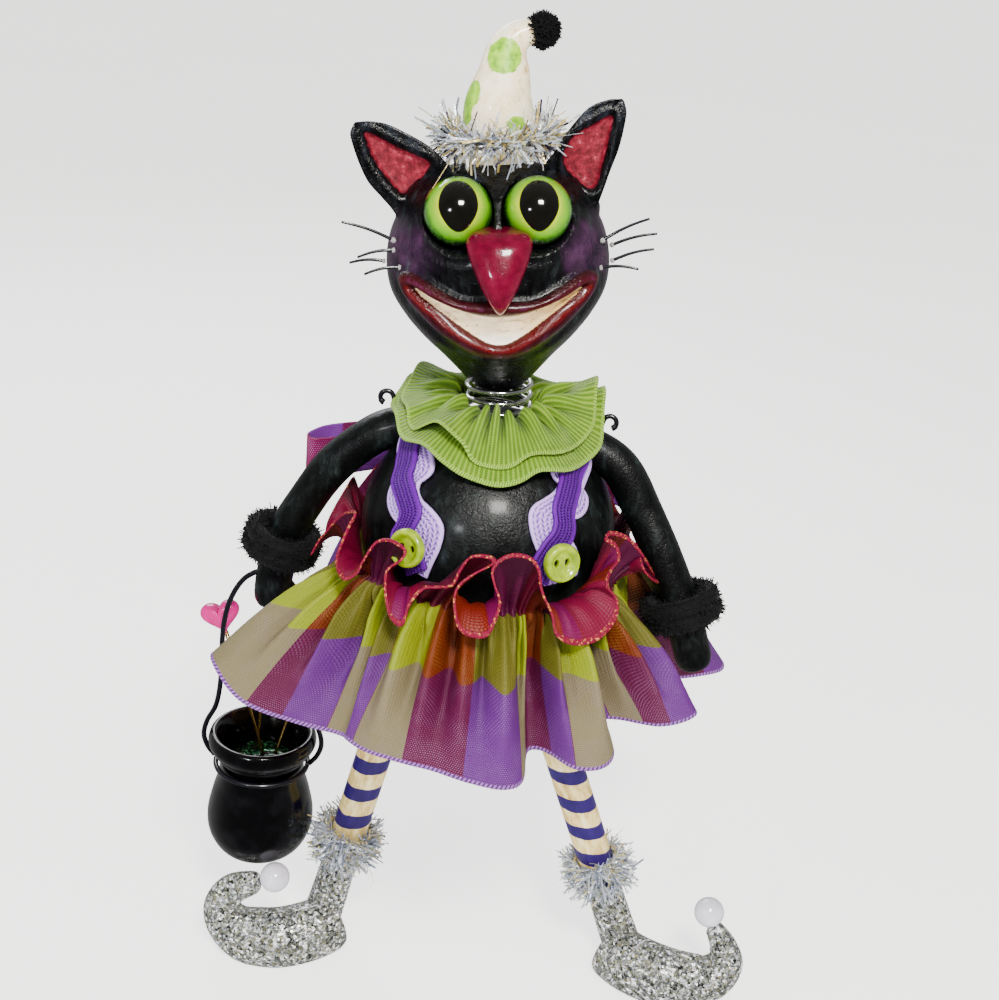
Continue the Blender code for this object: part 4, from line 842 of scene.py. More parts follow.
foil = Finish("foil_tinsel", {"Metallic": 0.55})
kind = foil.mark("kind")
crinkle = foil.noise(0.45, detail=2.0)
# The kinds run from bright silver through grey and pale gold to near black; the grey and
# near-black strips are painted reflection of darker surroundings, and the core takes the dark end.
metal = foil.mixed((0.0, colour(250, 252, 255)), (0.3, colour(236, 242, 250)),
                   (0.5, colour(128, 138, 162)), (0.62, colour(210, 218, 226)),
                   (0.68, colour(240, 228, 170)), (0.86, colour(206, 180, 98)),
                   (0.92, colour(70, 62, 80)), (1.0, colour(24, 20, 34)), by=kind)
foil.paint(0.25, base=metal, rough=crinkle * 0.3 + 0.08, height=crinkle)


def tinsel_ring(middle, radius, count, reach, spread, strays, stray_reach):
    """Foil strips that start on a level ring and point out of it, each as far out, along and up
    or down as chance has it. The strays are longer, and the core is a closed round rod."""
    turns = chance.uniform(0, 2 * np.pi, count + strays)
    out = np.stack([np.cos(turns), np.sin(turns), 0 * turns], -1)
    up = chance.normal(0, spread, len(turns))[:, None] * np.array([0, 0, 1.0])
    drift = chance.normal(0, 0.5, len(turns))[:, None] * np.stack(
        [-np.sin(turns), np.cos(turns), 0 * turns], -1)
    aims = unit(out * chance.uniform(0.1, 1.0, len(turns))[:, None] + up + drift)
    lengths = chance.uniform(0.5, 1.0, len(turns)) * reach
    lengths[count:] = chance.uniform(0.6, 1.0, strays) * stray_reach
    roots = out * (radius + chance.normal(0, 0.35, len(turns))[:, None])
    roots[:, 2] += chance.normal(0, 0.4, len(turns))
    paths = tuft_paths(roots, aims, lengths, 0.28, 4)
    wide = chance.uniform(0.25, 0.55, len(turns))
    points, faces, each = strips(paths, wide, 0.06, chance.normal(size=(len(turns), 3)))
    kinds = chance.uniform(0, 1, len(turns))
    kinds[count:] = chance.uniform(0.45, 1.0, strays)
    turns = np.linspace(0, 2 * np.pi, 16, endpoint=False)
    core = along(np.stack([np.cos(turns), np.sin(turns), 0 * turns], -1) * radius, 48, closed=True)
    core = np.vstack([core, core[:1]])
    core_points, core_faces = skin(tube(core, 0.5, 8))
    points, faces = joined([(points, faces), (core_points, core_faces)])
    kinds = np.concatenate([np.repeat(kinds, each), np.full(len(core_points), 0.95)])
    return points + middle, faces, kinds


points, faces, kinds = tinsel_ring(TINSEL_AT, TINSEL_RADIUS, 1500, 5.2, 0.75, 60, 9.5)
tinsel = shape("hat_foil_tinsel", on_head(points), faces, foil, {"kind": kinds}, smooth=False)
dress(tinsel, "tinsel", "hat_tinsel")

chenille = Finish("black_chenille", {"Specular IOR Level": 0.15, "Sheen Weight": 0.03})
tone = chenille.noise(0.9)
chenille.paint(0.1, base=tone.blend(colour(2, 2, 3), colour(12, 11, 14)), rough=0.8,
               height=tone)
POMPOM_AT = np.array([9.6, 0.0, 50.6])
POMPOM_PILE = 3000


def fluff(roots, aims, lengths, curl, wide):
    """Clipped fibres as thin strips of three stations, turned by chance."""
    paths = tuft_paths(roots, aims, lengths, curl, 3)
    points, faces, _ = strips(paths, np.full(len(roots), wide), 0.09,
                              chance.normal(size=(len(roots), 3)))
    return points, faces


aims = unit(chance.normal(size=(POMPOM_PILE, 3)))
core = np.linspace(-1, 1, 14)
ball = POMPOM_AT + np.stack([1.9 * core, 0 * core, 0 * core], -1)
parts = [fluff(POMPOM_AT + aims * 1.2, aims, chance.uniform(2.1, 2.5, POMPOM_PILE), 0.12, 0.22),
         skin(tube(ball, 2.4 * np.sqrt(1.001 - core ** 2)))]
points, faces = joined(parts)
pompom = shape("chenille_pompom", on_head(points), faces, chenille, smooth=False)
dress(pompom, "black_fluff", "hat_pompom")


# The spring neck: bright steel wire in three and a quarter close turns between body and chin.
BODY_RADIUS = 29.5
BODY_RISE = 28.0
BODY_DROP = 33.0
BODY_Z = 121.0
SPRING_RADIUS = 7.2
SPRING_WIRE = 0.6
SPRING_TURNS = 3.25


def body_level(distance):
    """Level of the body's upper surface at a distance from its axis."""
    return BODY_Z + BODY_RISE * np.sqrt(np.clip(1 - (distance / BODY_RADIUS) ** 2, 0, 1))


def round_axis(azimuth, radius, level):
    """Points at angles from the front in degrees, distances from the axis and levels."""
    a = np.radians(azimuth)
    return np.stack(np.broadcast_arrays(radius * np.sin(a), -radius * np.cos(a), level), -1)


steel = Finish("bright_spring_steel", {"Metallic": 1.0})
smudge = steel.noise(1.2)
steel.paint(0.02, base=smudge.blend(colour(196, 196, 192), colour(236, 236, 238)),
            rough=smudge * 0.15 + 0.08, height=smudge)
share = np.linspace(0, 1, 150)
foot = body_level(6.6) + 0.9
top = np.array(on_head([(0, 0, -23.9)])[0])
azimuth = 360 * SPRING_TURNS * share
coil = round_axis(azimuth + 140, SPRING_RADIUS, foot + (top[2] - foot) * share)
coil[:, 0] += top[0] * share
points, faces = skin(tube(coil, SPRING_WIRE, 14, (0, 0, 1.0)))
dress(shape("steel_spring", points, faces, steel), "bright_steel", "neck_spring")


# The body: a big egg of clay in the same black satin paint as the head, with grey-green brush
# marks on its shoulders. The arms, of the same clay, are hung beside it on wires.
ARMS = {-1: [(-17.5, 3, 143.6), (-22.5, 3, 142.4), (-28.6, 3, 139.4), (-37.2, 3, 131.2),
             (-43.8, 3, 120.6), (-48.4, 3, 111), (-50, 3, 102), (-50.5, 3, 96.6)],
        1: [(16.5, 1, 142.5), (22.5, 0.6, 142.2), (29, -0.5, 138.6), (34.9, -2.2, 129.9),
            (40.4, -5, 120.5), (45.6, -7, 110.6), (49.4, -9, 100.6), (50.6, -9.6, 97.2)]}
ARM_RADIUS = 4.65
ARM_STEPS = 70
WIRE_STEP = {-1: 5, 1: 6}

dark_clay = Finish("black_clay_satin", {"Specular IOR Level": 0.22, "Coat Roughness": 0.15})
place = dark_clay.spot()
strokes = dark_clay.noise(2.6, place * (1.0, 1.0, 0.35), 4.0, 0.65)
fine = dark_clay.noise(0.5, place, 2.0)
blots = dark_clay.noise(7.0, place, 3.0)
black = dark_clay.mixed((0.38, colour(2, 2, 3)), (0.53, colour(6, 8, 8)),
                        (0.63, colour(20, 27, 26)), (0.76, colour(52, 62, 62)),
                        by=strokes * 0.75 + blots * 0.25)
# Painted sheen: blue-grey dabs where the large blots and the strokes both run high.
blue_sheen_dabs = (blots.rise(0.55, 0.72) * strokes.rise(0.5, 0.7)) * 0.5
dark_clay.paint(0.5, base=blue_sheen_dabs.blend(black, colour(34, 42, 58)), rough=strokes * 0.3 + 0.26,
                coat=0.1, height=strokes * 0.5 + fine * 0.25 + blots * 0.6)

lift = np.linspace(-90, 90, 90)[1:-1, None]
azimuth = np.linspace(0, 360, 128, endpoint=False)[None, :]
drop = np.where(lift < 0, BODY_DROP, BODY_RISE)
rings = round_axis(azimuth, BODY_RADIUS * np.cos(np.radians(lift)),
                   BODY_Z + drop * np.sin(np.radians(lift)))
points, faces = skin(rings)
dress(shape("clay_body", points, faces, dark_clay), "black_clay", "body")


def arm_path(side, count):
    """The middle of an arm, from under the collar to the end of its paw."""
    return along(ARMS[side], count)


for side, word in ((-1, "left"), (1, "right")):
    path = arm_path(side, ARM_STEPS)
    share = np.linspace(0, 1, len(path))
    last = path[-1] + unit(path[-1] - path[-2]) * np.array([[1.6], [2.8], [3.5], [3.9]])
    wide = ARM_RADIUS * (1 - 0.06 * share) * (1 + 0.012 * np.sin(23 * share + side))
    wide = np.concatenate([wide, ARM_RADIUS * 0.94 * np.array([0.93, 0.77, 0.52, 0.2])])
    points, faces = skin(tube(np.vstack([path, last]), wide, 36, (0, 1.0, 0)))
    dress(shape(f"clay_arm_{word}", points, faces, dark_clay), "black_clay", word + "_arm")

    here = path[WIRE_STEP[side]]
    way = unit(path[WIRE_STEP[side] + 2] - here)
    up = unit(np.array([0, 0, 1.0]) - way * way[2])
    foot = here + up * (ARM_RADIUS - 0.6)
    bends = np.radians(np.linspace(180, -48, 26))[:, None]
    curl = foot + up * 3.4 + way * 1.5 + 1.5 * (way * np.cos(bends) + up * np.sin(bends))
    path = np.vstack([foot, foot + up * 1.6, curl])
    points, faces = skin(tube(path, 0.6 + 0.12 * (np.arange(len(path)) > 22), 12, (0.1, 1.0, 0)))
    wire = shape(f"shoulder_wire_end_{word}", points, faces, bristle_black)
    dress(wire, "black_wire", word + "_shoulder_wire")


# The collar: two rings of ribbed green ribbon, gathered round the foot of the spring. The ribs
# run outward, and the gathers stand up as round pleats at the neck.
COLLAR_IN = 8.7
COLLAR_OUT = {"lower": 24.2, "upper": 22.0}
COLLAR_EDGE = {
    "lower": [(-180, 151.5), (-150, 149), (-120, 152.2), (-92, 148.6), (-77, 148.6), (-58, 145.6),
              (-41, 146.2), (-26, 144), (-13, 141.6), (2, 140.6), (15, 141.8), (26, 144),
              (44, 143.4), (59, 143.6), (77, 146.4), (88, 151), (104, 155.5), (122, 151),
              (150, 149.5)],
    "upper": [(-180, 153.5), (-150, 151), (-120, 155.5), (-92, 150.8), (-71, 150.4),
              (-58, 147.2), (-37, 151.6), (-20, 149), (-12, 144.8), (-3, 143.8), (10, 144.4),
              (22, 147), (43, 147), (60, 147.4), (80, 152), (96, 158), (110, 157), (128, 152),
              (152, 151.5)]}
RIBS = 132
RIB_PITCH = 1.25
COLLAR_WIDE = 15.2
COLLAR_PLEATS = 21
COLLAR_CLOTH = 0.5
COLLAR_GAP = 1.55
PLEAT_TALL = 3.9


def hoop(rings, flat=None):
    """Closed surface over closed rings joined end to end, with each corner's place on the cloth.

    Flat gives the cloth's whole length and the place across it of each ring.
    """
    rows, columns = rings.shape[:2]
    row = np.arange(rows)[:, None]
    column = np.arange(columns)[None, :]
    faces = []
    cloth = []
    for down, on in ((0, 0), (0, 1), (1, 1), (1, 0)):
        r = (row + down) % rows + 0 * column
        c = column + on + 0 * row
        faces.append(r * columns + c % columns)
        if flat is not None:
            cloth.append(np.stack([c * flat[0] / columns, np.asarray(flat[1])[r]], -1))
    faces = np.stack(faces, -1).reshape(-1, 4)
    points = rings.reshape(-1, 3)
    spans = points[faces] - points.mean(0)
    turned = np.einsum("ij,ij->i", spans[:, 0], np.cross(spans[:, 1], spans[:, 2])).sum() < 0
    if turned:
        faces = faces[:, ::-1]
    if flat is None:
        return points, [faces]
    cloth = np.stack(cloth, -2).reshape(-1, 4, 2)
    cloth = cloth[:, ::-1] if turned else cloth
    return points, [faces], cloth.reshape(-1, 2)


def two_faced(sheet, thick, closed=True):
    """The rings of a cloth of the given thickness round a sheet, rows x columns x 3.

    Each row moves half the thickness to either side along the sheet's own normal; the rows of
    the far side follow in reverse.
    """
    along_row = np.gradient(sheet, axis=1)
    if closed:
        along_row[:, 0] = (sheet[:, 1] - sheet[:, -1]) / 2
        along_row[:, -1] = (sheet[:, 0] - sheet[:, -2]) / 2
    normal = unit(np.cross(along_row, np.gradient(sheet, axis=0)))
    return np.vstack([sheet + normal * thick / 2, (sheet - normal * thick / 2)[::-1]])


def edge_at(table, azimuth):
    """Level of a wavy edge at each azimuth, by the smooth line through its table."""
    around = table + [(table[0][0] + 360, table[0][1])]
    line = along(around, 500)
    return np.interp((azimuth + 180) % 360 - 180, line[:, 0], line[:, 1])


ribbed_green = Finish("ribbed_green_ribbon", {"Specular IOR Level": 0.25, "Sheen Weight": 0.06})
flat = ribbed_green.node("UVMap", {}, "UV", uv_map="cloth")
rib = flat.part("X").wave(RIB_PITCH)
thread = flat.part("Y").wave(0.42)
border = flat.part("Y").rise(14.2, 14.7)
picot = (flat.part("X") + flat.part("Y") * 0.4).wave(0.62)
shade = ribbed_green.noise(4.0)
# Painted highlight and shade: the green is lighter on the raised ribs and threads and darker
# between them.
green = ribbed_green.mixed((0.15, colour(50, 82, 2)), (0.45, colour(92, 130, 14)),
                           (0.85, colour(140, 170, 50)),
                           by=rib * 0.34 + shade * 0.4 + thread * 0.12 + 0.06)
# Painted shade: a mark on the mesh darkens the valleys between the pleats.
green = (ribbed_green.mark("pleat_shade") * 0.8).blend(green, green * (0.2, 0.28, 0.2))
edging = picot.blend(colour(78, 116, 12), colour(150, 184, 66))
ribbed_green.paint(0.3, base=border.blend(green, edging), rough=0.55,
                   height=(rib + thread * 0.18) * (1.0 - border) + border * (picot * 0.5 + 0.4))


def build_collar(layer, level_in, rise):
    """One ring of ribbon. The level falls from the neck to the edge by the power 1.35 of the way
    out, with a sine bulge of 1.2. Pleats stand on it as (1 + cos) / 2 ridges that fade outward,
    and a mark of painted shade darkens the valleys between them; on the lower ring, which has no
    pleats, it is an even painted shade near the neck, under the upper ring, that fades outward."""
    azimuth = np.linspace(-180, 180, 640, endpoint=False)[None, :]
    share = np.linspace(0, 1, 44)[:, None]
    edge = edge_at(COLLAR_EDGE[layer], azimuth)
    if layer == "upper":
        edge = np.maximum(edge, edge_at(COLLAR_EDGE["lower"], azimuth) + 1.9)
    wander = 0.55 * np.sin(np.radians(azimuth) * 5 + 1) + 0.4 * np.sin(np.radians(azimuth) * 3)
    pleat = (0.5 + 0.5 * np.cos(np.radians(azimuth) * COLLAR_PLEATS + wander * 2)) ** 1.2
    tall = rise * (0.75 + 0.25 * np.sin(np.radians(azimuth) * 7 + 2))
    fade = (1 - ease(share, 0.14, 0.86)) * ease(share, -0.04, 0.14)
    level = level_in + (edge - level_in) * share ** 1.35 + 1.2 * np.sin(np.pi * share)
    level = level + tall * fade * pleat ** 0.8
    radius = COLLAR_IN + (COLLAR_OUT[layer] - COLLAR_IN) * share
    radius = radius - 0.5 * fade * pleat + 0.35 * share * np.sin(np.radians(azimuth) * 11)
    sheet = round_axis(azimuth, radius, level)
    across = np.concatenate([share[:, 0], share[::-1, 0]]) * COLLAR_WIDE
    points, faces, cloth = hoop(two_faced(sheet, COLLAR_CLOTH), (RIBS * RIB_PITCH, across))
    # Painted shade: deep in the valleys between pleats; on the lower ring an even shade near the
    # neck.
    valley = np.clip(fade * (0.75 - pleat) * 1.5, 0, 1) if rise else 0.25 * fade
    valley = np.broadcast_to(valley, sheet.shape[:2])
    piece = shape(f"ribbon_collar_{layer}", points, faces, ribbed_green,
                  {"pleat_shade": np.vstack([valley, valley[::-1]]).ravel()}, cloth)
    dress(piece, "green_ribbon", "collar_" + layer)
    return piece


LOW_IN = body_level(COLLAR_IN) + 1.1
collar_low = build_collar("lower", LOW_IN, 0.0)
collar_top = build_collar("upper", LOW_IN + COLLAR_GAP, PLEAT_TALL)


# The braces: each a wide lavender zigzag braid with a narrower purple one on it, from the skirt
# up the front and over the shoulder, glued to the body under a button.
BRACE_FRONT = {
    (-1, "lavender"): [(31.2, -1), (29.2, 5), (27.2, 10.7), (26.9, 16.2), (28.7, 18.8),
                       (33.2, 21.1), (40.5, 23.8), (45.6, 28), (47.2, 33), (46.4, 41)],
    (-1, "purple"): [(27, -1), (29.2, 2.8), (34.3, 7.4), (37.1, 12.2), (35.9, 16.6),
                     (35.3, 22), (38, 25.6), (44.2, 30.4), (49.4, 34.1), (54.4, 41.2)],
    (1, "lavender"): [(34.3, -1), (34.7, 5.5), (33.2, 10.4), (30.3, 16.1), (28.3, 22.4),
                      (28.8, 27.9), (34.7, 30.3), (43.1, 32.6), (48.3, 36.6), (48.2, 42.8)],
    (1, "purple"): [(22, 1), (23.8, 7.2), (28.7, 14.4), (33.3, 18.9), (35.5, 23.2),
                    (36.4, 29.4), (40.1, 34.4), (44.6, 38.9), (52.3, 45.2)]}
BRACE_BACK = [(70, 50), (95, 53), (118, 44), (132, 34), (140, 22), (146, 10), (148, -2)]
# Each braid's width, how far its middle stands off the body, and its thickness.
BRACE_LOOKS = {"lavender": (9.0, 0.95, 0.8), "purple": (5.8, 1.95, 0.85)}
BRAID_STEPS = 300
CALM_STEPS = 33


def off_body(azimuth, lift, off):
    """A point so far outside the body, at an azimuth and a height angle."""
    e = np.radians(lift)
    tall = np.where(e < 0, BODY_DROP, BODY_RISE) + off
    return round_axis(azimuth, (BODY_RADIUS + off) * np.cos(e), BODY_Z + tall * np.sin(e))


def laid_on_body(points, off):
    """Points pushed along the line from the body's middle until they stand so far off it."""
    from_middle = points - (0, 0, BODY_Z)
    tall = np.where(from_middle[..., 2] < 0, BODY_DROP, BODY_RISE) + off
    wide = BODY_RADIUS + off
    size = np.sqrt((from_middle[..., 0] / wide) ** 2 + (from_middle[..., 1] / wide) ** 2
                   + (from_middle[..., 2] / tall) ** 2)
    return from_middle / size[..., None] + (0, 0, BODY_Z)


def braid_sheet(side, layer):
    """Rings of a braid: its width runs 0.35 along its own normal and 0.65 along the normal of
    the middle it zigzags about, and its corded face is domed by cos of the way across."""
    wide, rise, thick = BRACE_LOOKS[layer]
    route = along(BRACE_FRONT[side, layer] + BRACE_BACK, 330)
    middle = off_body(side * route[:, 0], route[:, 1], rise)
    run = np.concatenate([[0], np.cumsum(np.linalg.norm(np.diff(middle, axis=0), axis=1))])
    even = np.linspace(0, run[-1], BRAID_STEPS)
    middle = np.stack([np.interp(even, run, part) for part in middle.T], -1)
    out = unit(middle - (0, 0, BODY_Z))
    own = unit(np.cross(np.gradient(middle, axis=0), out))
    padded = np.vstack([middle[:1]] * CALM_STEPS + [middle] + [middle[-1:]] * CALM_STEPS)
    total = np.cumsum(padded, axis=0)
    calm = total[2 * CALM_STEPS - 1:] - np.vstack([np.zeros((1, 3)), total[:-2 * CALM_STEPS]])
    calm = unit(np.cross(np.gradient(calm[:len(middle)], axis=0), out))
    across = own * 0.35 + calm * 0.65
    share = np.linspace(-1, 1, 17)
    top = middle[:, None] + across[:, None] * (share * wide / 2)[None, :, None]
    dome = 0.22 * np.cos(share * 1.35)
    face = laid_on_body(top, rise + thick / 2 - 0.16) + out[:, None] * dome[None, :, None]
    back = laid_on_body(top, rise - thick / 2)
    place = np.concatenate([share, share[::-1]]) * wide / 2
    marks = np.stack(np.broadcast_arrays(place, even[:, None], 0.0), -1)
    marks = np.vstack([marks.reshape(-1, 3), marks[0].mean(0), marks[-1].mean(0)])
    return np.concatenate([face, back[:, ::-1]], axis=1), marks


braids = {}
for layer, dark, pale, glint in (("lavender", (96, 56, 150), (170, 128, 214), (208, 178, 240)),
                                 ("purple", (26, 0, 50), (66, 0, 108), (98, 6, 146))):
    braid = Finish(layer + "_braid_thread", {"Specular IOR Level": 0.15})
    spot = braid.mark("braid", "Vector")
    across = spot.part("X")
    down = spot.part("Y")
    cords = across.wave(0.86 if layer == "purple" else 1.15)
    slant = (down + abs((across + 20.0) % 1.72 - 0.86) * (1.1 if layer == "lavender" else 0.5))
    stitch = slant.wave(0.62 if layer == "purple" else 0.95)
    limit = 2.9 if layer == "purple" else 4.5
    edge = abs(across).rise(limit - 0.9, limit - 0.6)
    weave = cords * 0.55 + stitch * 0.45
    weave = weave * (1.0 - edge) + edge * 0.8
    # Painted highlight and shade: each thread colour runs from dark in the grooves to pale and
    # glinting on the raised cords and stitches.
    tone = braid.mixed((0.12, colour(*dark)), (0.5, colour(*pale)), (0.95, colour(*glint)),
                       by=weave * 0.8 + braid.noise(1.4) * 0.2)
    braid.paint(0.35, base=tone, rough=0.5, height=weave)
    braids[layer] = braid
for side, word in ((-1, "left"), (1, "right")):
    for layer in ("lavender", "purple"):
        rings, marks = braid_sheet(side, layer)
        points, faces = skin(rings)
        piece = shape(f"zigzag_{layer}_{word}", points, faces, braids[layer], {"braid": marks})
        dress(piece, layer + "_braid", f"{word}_brace_{layer}")


# The buttons: thick lime ones of cast plastic with a round rim, a dished middle and two holes.
# Each is glued over the crossing of the two braids just above the frill.
BUTTON_PLACE = (30.2, 9.5)
BUTTON_OFF = 2.8
BUTTON_RADIUS = 4.35
BUTTON_TALL = 2.6
HOLE_PITCH = 2.6
HOLE_RADIUS = (0.62, 0.85)

lime_plastic = Finish("lime_button_gloss", {"Coat Weight": 0.6, "Coat Roughness": 0.06})
spot = lime_plastic.mark("button", "Vector")
swirl = lime_plastic.noise(2.2, spot, 3.0)
depth = spot.part("Z")
lime = lime_plastic.mixed((0.3, colour(108, 134, 0)), (0.55, colour(138, 164, 0)),
                          (0.8, colour(172, 192, 10)), by=swirl)
# Painted shade: low in the button, in its holes and round the foot of its rim by the body, the
# lime turns near black.
out_of_shade = depth.rise(0.4, 1.0)
lime_plastic.paint(0.06, base=out_of_shade.blend(colour(24, 26, 6), lime), rough=0.25, height=swirl)


def button_rings():
    """A turned button drawn over a grid of rings; within a hole's oval the face drops straight
    down, and at its wall the rings are drawn together."""
    radius, high = BUTTON_RADIUS, BUTTON_TALL
    profile = [(0.02, 0), (radius * 0.72, 0), (radius * 0.95, high * 0.22), (radius, high * 0.58),
               (radius * 0.93, high * 0.92), (radius * 0.78, high), (radius * 0.64, high * 0.86),
               (radius * 0.5, high * 0.64), (radius * 0.2, high * 0.6), (0.02, high * 0.6)]
    shares = np.concatenate([np.linspace(0, 0.58, 34), np.linspace(0.6, 1, 70)])
    line = along(profile, shares)
    turns = np.linspace(0, 2 * np.pi, 120, endpoint=False)
    x = line[:, :1] * np.cos(turns)
    y = line[:, :1] * np.sin(turns)
    z = line[:, 1:] + 0 * x
    gap = np.hypot((np.abs(x) - HOLE_PITCH / 2) / HOLE_RADIUS[0], y / HOLE_RADIUS[1])
    face = z > high * 0.5
    z = np.where(face, z - 1.5 * (1 - ease(gap, 0.82, 1.08)), z)
    return np.stack([x, y, z], -1)


for side, word in ((-1, "left"), (1, "right")):
    centre = off_body(side * BUTTON_PLACE[0], BUTTON_PLACE[1], BUTTON_OFF)
    out = unit(off_body(side * BUTTON_PLACE[0], BUTTON_PLACE[1], BUTTON_OFF + 1) - centre)
    level = unit(np.cross((0, 0, 1.0), out))
    upward = np.cross(out, level)
    points, faces = skin(button_rings())
    placed = centre + points @ np.stack([level, upward, out])
    piece = shape(f"two_hole_button_{word}", placed, faces, lime_plastic, {"button": points})
    dress(piece, "lime_button", word + "_button")


# The cuffs: a stem of black chenille wound twice round each wrist, its pile standing out all
# round the wire.
CUFF_AT = {-1: 0.765, 1: 0.80}
CUFF_CORE = 7.1
CUFF_TURN = 1.55
CUFF_PILE = 3300


def frame_along(way):
    """Three square directions as rows, the last along the given way."""
    way = unit(np.asarray(way, float))
    side = unit(np.cross(way, (0.0, 1.0, 0.0)))
    return np.stack([side, np.cross(way, side), way])


for side, word in ((-1, "left"), (1, "right")):
    path = arm_path(side, 200)
    here = int(CUFF_AT[side] * 200)
    turned = frame_along(path[here + 4] - path[here])
    turns = chance.uniform(0, 2 * np.pi, CUFF_PILE)
    winding = np.where(chance.uniform(0, 1, CUFF_PILE) < 0.5, -CUFF_TURN, CUFF_TURN)
    roots = np.stack([np.cos(turns), np.sin(turns), 0 * turns], -1) * CUFF_CORE
    roots[:, 2] = winding + 0.5 * np.sin(turns)
    aims = unit(chance.normal(size=(CUFF_PILE, 3)))
    ahead = np.stack([-np.sin(turns), np.cos(turns), 0 * turns], -1)
    aims = unit(aims - 0.7 * ahead * (aims * ahead).sum(1, keepdims=True))
    parts = [fluff(roots, aims, chance.uniform(2.5, 3.0, CUFF_PILE), 0.13, 0.24)]
    ring = np.linspace(0, 2 * np.pi, 49)
    for shift in (-CUFF_TURN, CUFF_TURN):
        core = np.stack([np.cos(ring), np.sin(ring), 0 * ring], -1) * CUFF_CORE
        core[:, 2] = shift + 0.5 * np.sin(ring)
        parts.append(skin(tube(core, 2.3, 12)))
    points, faces = joined(parts)
    piece = shape(f"chenille_cuff_{word}", points @ turned + path[here], faces, chenille,
                  smooth=False)
    dress(piece, "chenille", word + "_cuff")


# The skirt: one wide sheer ribbon of plaid, gathered round the waist 12 mm under its upper edge,
# so that a frilled header stands over deep cone folds. Both edges are overcast.
WAIST_Z = 115.0
SKIRT_WAIST = 30.45
# The stitched edge of the frill from the left round the front, and behind.
FRILL = [(-80, 41, 112), (-78, 39, 117), (-68, 35.5, 126), (-55, 35.5, 130), (-53, 38, 127),
         (-52, 41, 120), (-45, 42.5, 118), (-40, 42, 120.5), (-39, 41, 123.5), (-38, 38, 127.5),
         (-33, 37, 129), (-26, 38, 128.5), (-26, 39.5, 126.5), (-30, 40.5, 123.5),
         (-29, 41.5, 118.5), (-26, 42.5, 114), (-22, 42.5, 113), (-21, 41, 117.5), (-18, 39, 121),
         (-14, 38, 121.5), (-9, 37.5, 122.5), (-7, 36.5, 126), (-4, 35.5, 129), (2, 35.5, 129.5),
         (4, 36.5, 128.5), (-3, 39.5, 126.5), (-7, 41, 123.5), (-7, 42, 119.5), (-5, 42.5, 115),
         (-1, 42.5, 113.5), (3, 42.5, 114), (5, 42, 117.5), (6, 41, 121.5), (4, 40, 125),
         (3, 38.5, 127.5), (5, 37, 129.5), (10, 36, 130.5), (16, 35.5, 129.5), (19, 36.5, 127),
         (20, 38, 122.5), (23, 40, 117.5), (24, 42, 113.5), (30, 42.5, 111), (38, 42.5, 111),
         (45, 42, 114), (47, 41, 118), (43, 40, 122), (46, 38.5, 124.5), (52, 37.5, 126.5),
         (51, 36.5, 129.5), (47, 35.5, 131.5), (51, 35, 132), (61, 36, 129), (69, 38, 123.5),
         (77, 40, 117), (78, 41.5, 114.5), (71, 41, 117), (66, 39.5, 120.5), (68, 38, 122.5),
         (72, 35.5, 125)]
FRILL_BACK = [(72, 35.5, 125), (82, 34, 121), (90, 33, 122.5), (98, 34.2, 123)]
FRILL_BACK += [(110 + 12 * k, 34.8 + 3.8 * (k % 2), 127 - 9.5 * (k % 2)) for k in range(12)]
FRILL_BACK += [(254, 34.6, 126), (266, 37.5, 118), (275, 38, 115), (280, 41, 112)]
FRILL_SPAN = (-80, 74)
HEM = [(-78, 39, 84), (-72, 51, 88), (-66, 63, 95), (-60, 66, 95.5), (-54, 62, 89),
       (-48, 52, 84), (-41, 45.5, 82), (-35, 46, 83), (-31.5, 50, 86), (-25, 51.5, 86),
       (-15, 51, 85.5), (-7, 50, 84.4), (2, 51, 83.2), (10, 51.8, 82.5), (15, 49, 82.5),
       (19, 41, 84.5), (24, 43, 85.5), (28, 51, 85.5), (34, 53.5, 86), (39, 51, 87.5),
       (43, 43, 89.5), (47, 45.5, 90.5), (51, 55, 92), (57, 59.5, 94.5), (62, 52, 94),
       (67, 41, 91), (77, 37, 88), (87, 41, 85), (93, 55, 85), (98, 62, 84.5), (104, 61, 85),
       (112, 48, 84.5), (118, 43, 84)]
HEM += [(132 + 16 * k, 57 - 13 * (k % 2), 85 - (k % 2)) for k in range(8)]
HEM += [(260, 34.8, 84), (272, 34.8, 84)]
RIBBON_WIDE = 57.0
HEADER_WIDE = 12.0
SKIRT_CLOTH = 0.45
SKIRT_COLUMNS = 1200
HEADER_ROWS = 14
SKIRT_ROWS = 28
# Where each stripe begins along the hem, in millimetres from the left side, and its sort: 0 is
# lime over silver, 1 orange over magenta, 2 grey over lavender.
STRIPES = [(0, 1), (12, 2), (28, 0), (48, 1), (56.3, 2), (67, 0), (76.4, 2), (82.7, 0),
           (94.8, 1), (108.4, 2), (122.6, 0), (130.5, 1), (138.6, 2), (145.7, 0), (158, 1),
           (166, 2), (169, 0), (177, 1), (183, 2), (198, 0), (212, 0), (231, 1), (245, 2)]
BACK_STRIPES = [(257 + 15.54 * k, k % 3) for k in range(13)]


def skirt_edges(columns):
    """Azimuth, radius and level at even steps of the hem, with each step's place along it."""
    hem = along(HEM + [(HEM[0][0] + 360, *HEM[0][1:])], 1600)
    place = round_axis(*hem.T)
    run = np.concatenate([[0], np.cumsum(np.linalg.norm(np.diff(place, axis=0), axis=1))])
    even = np.linspace(0, run[-1], columns, endpoint=False)
    azimuth, radius, level = (np.interp(even, run, part) for part in hem.T)
    return azimuth, radius, level, even, run[-1]


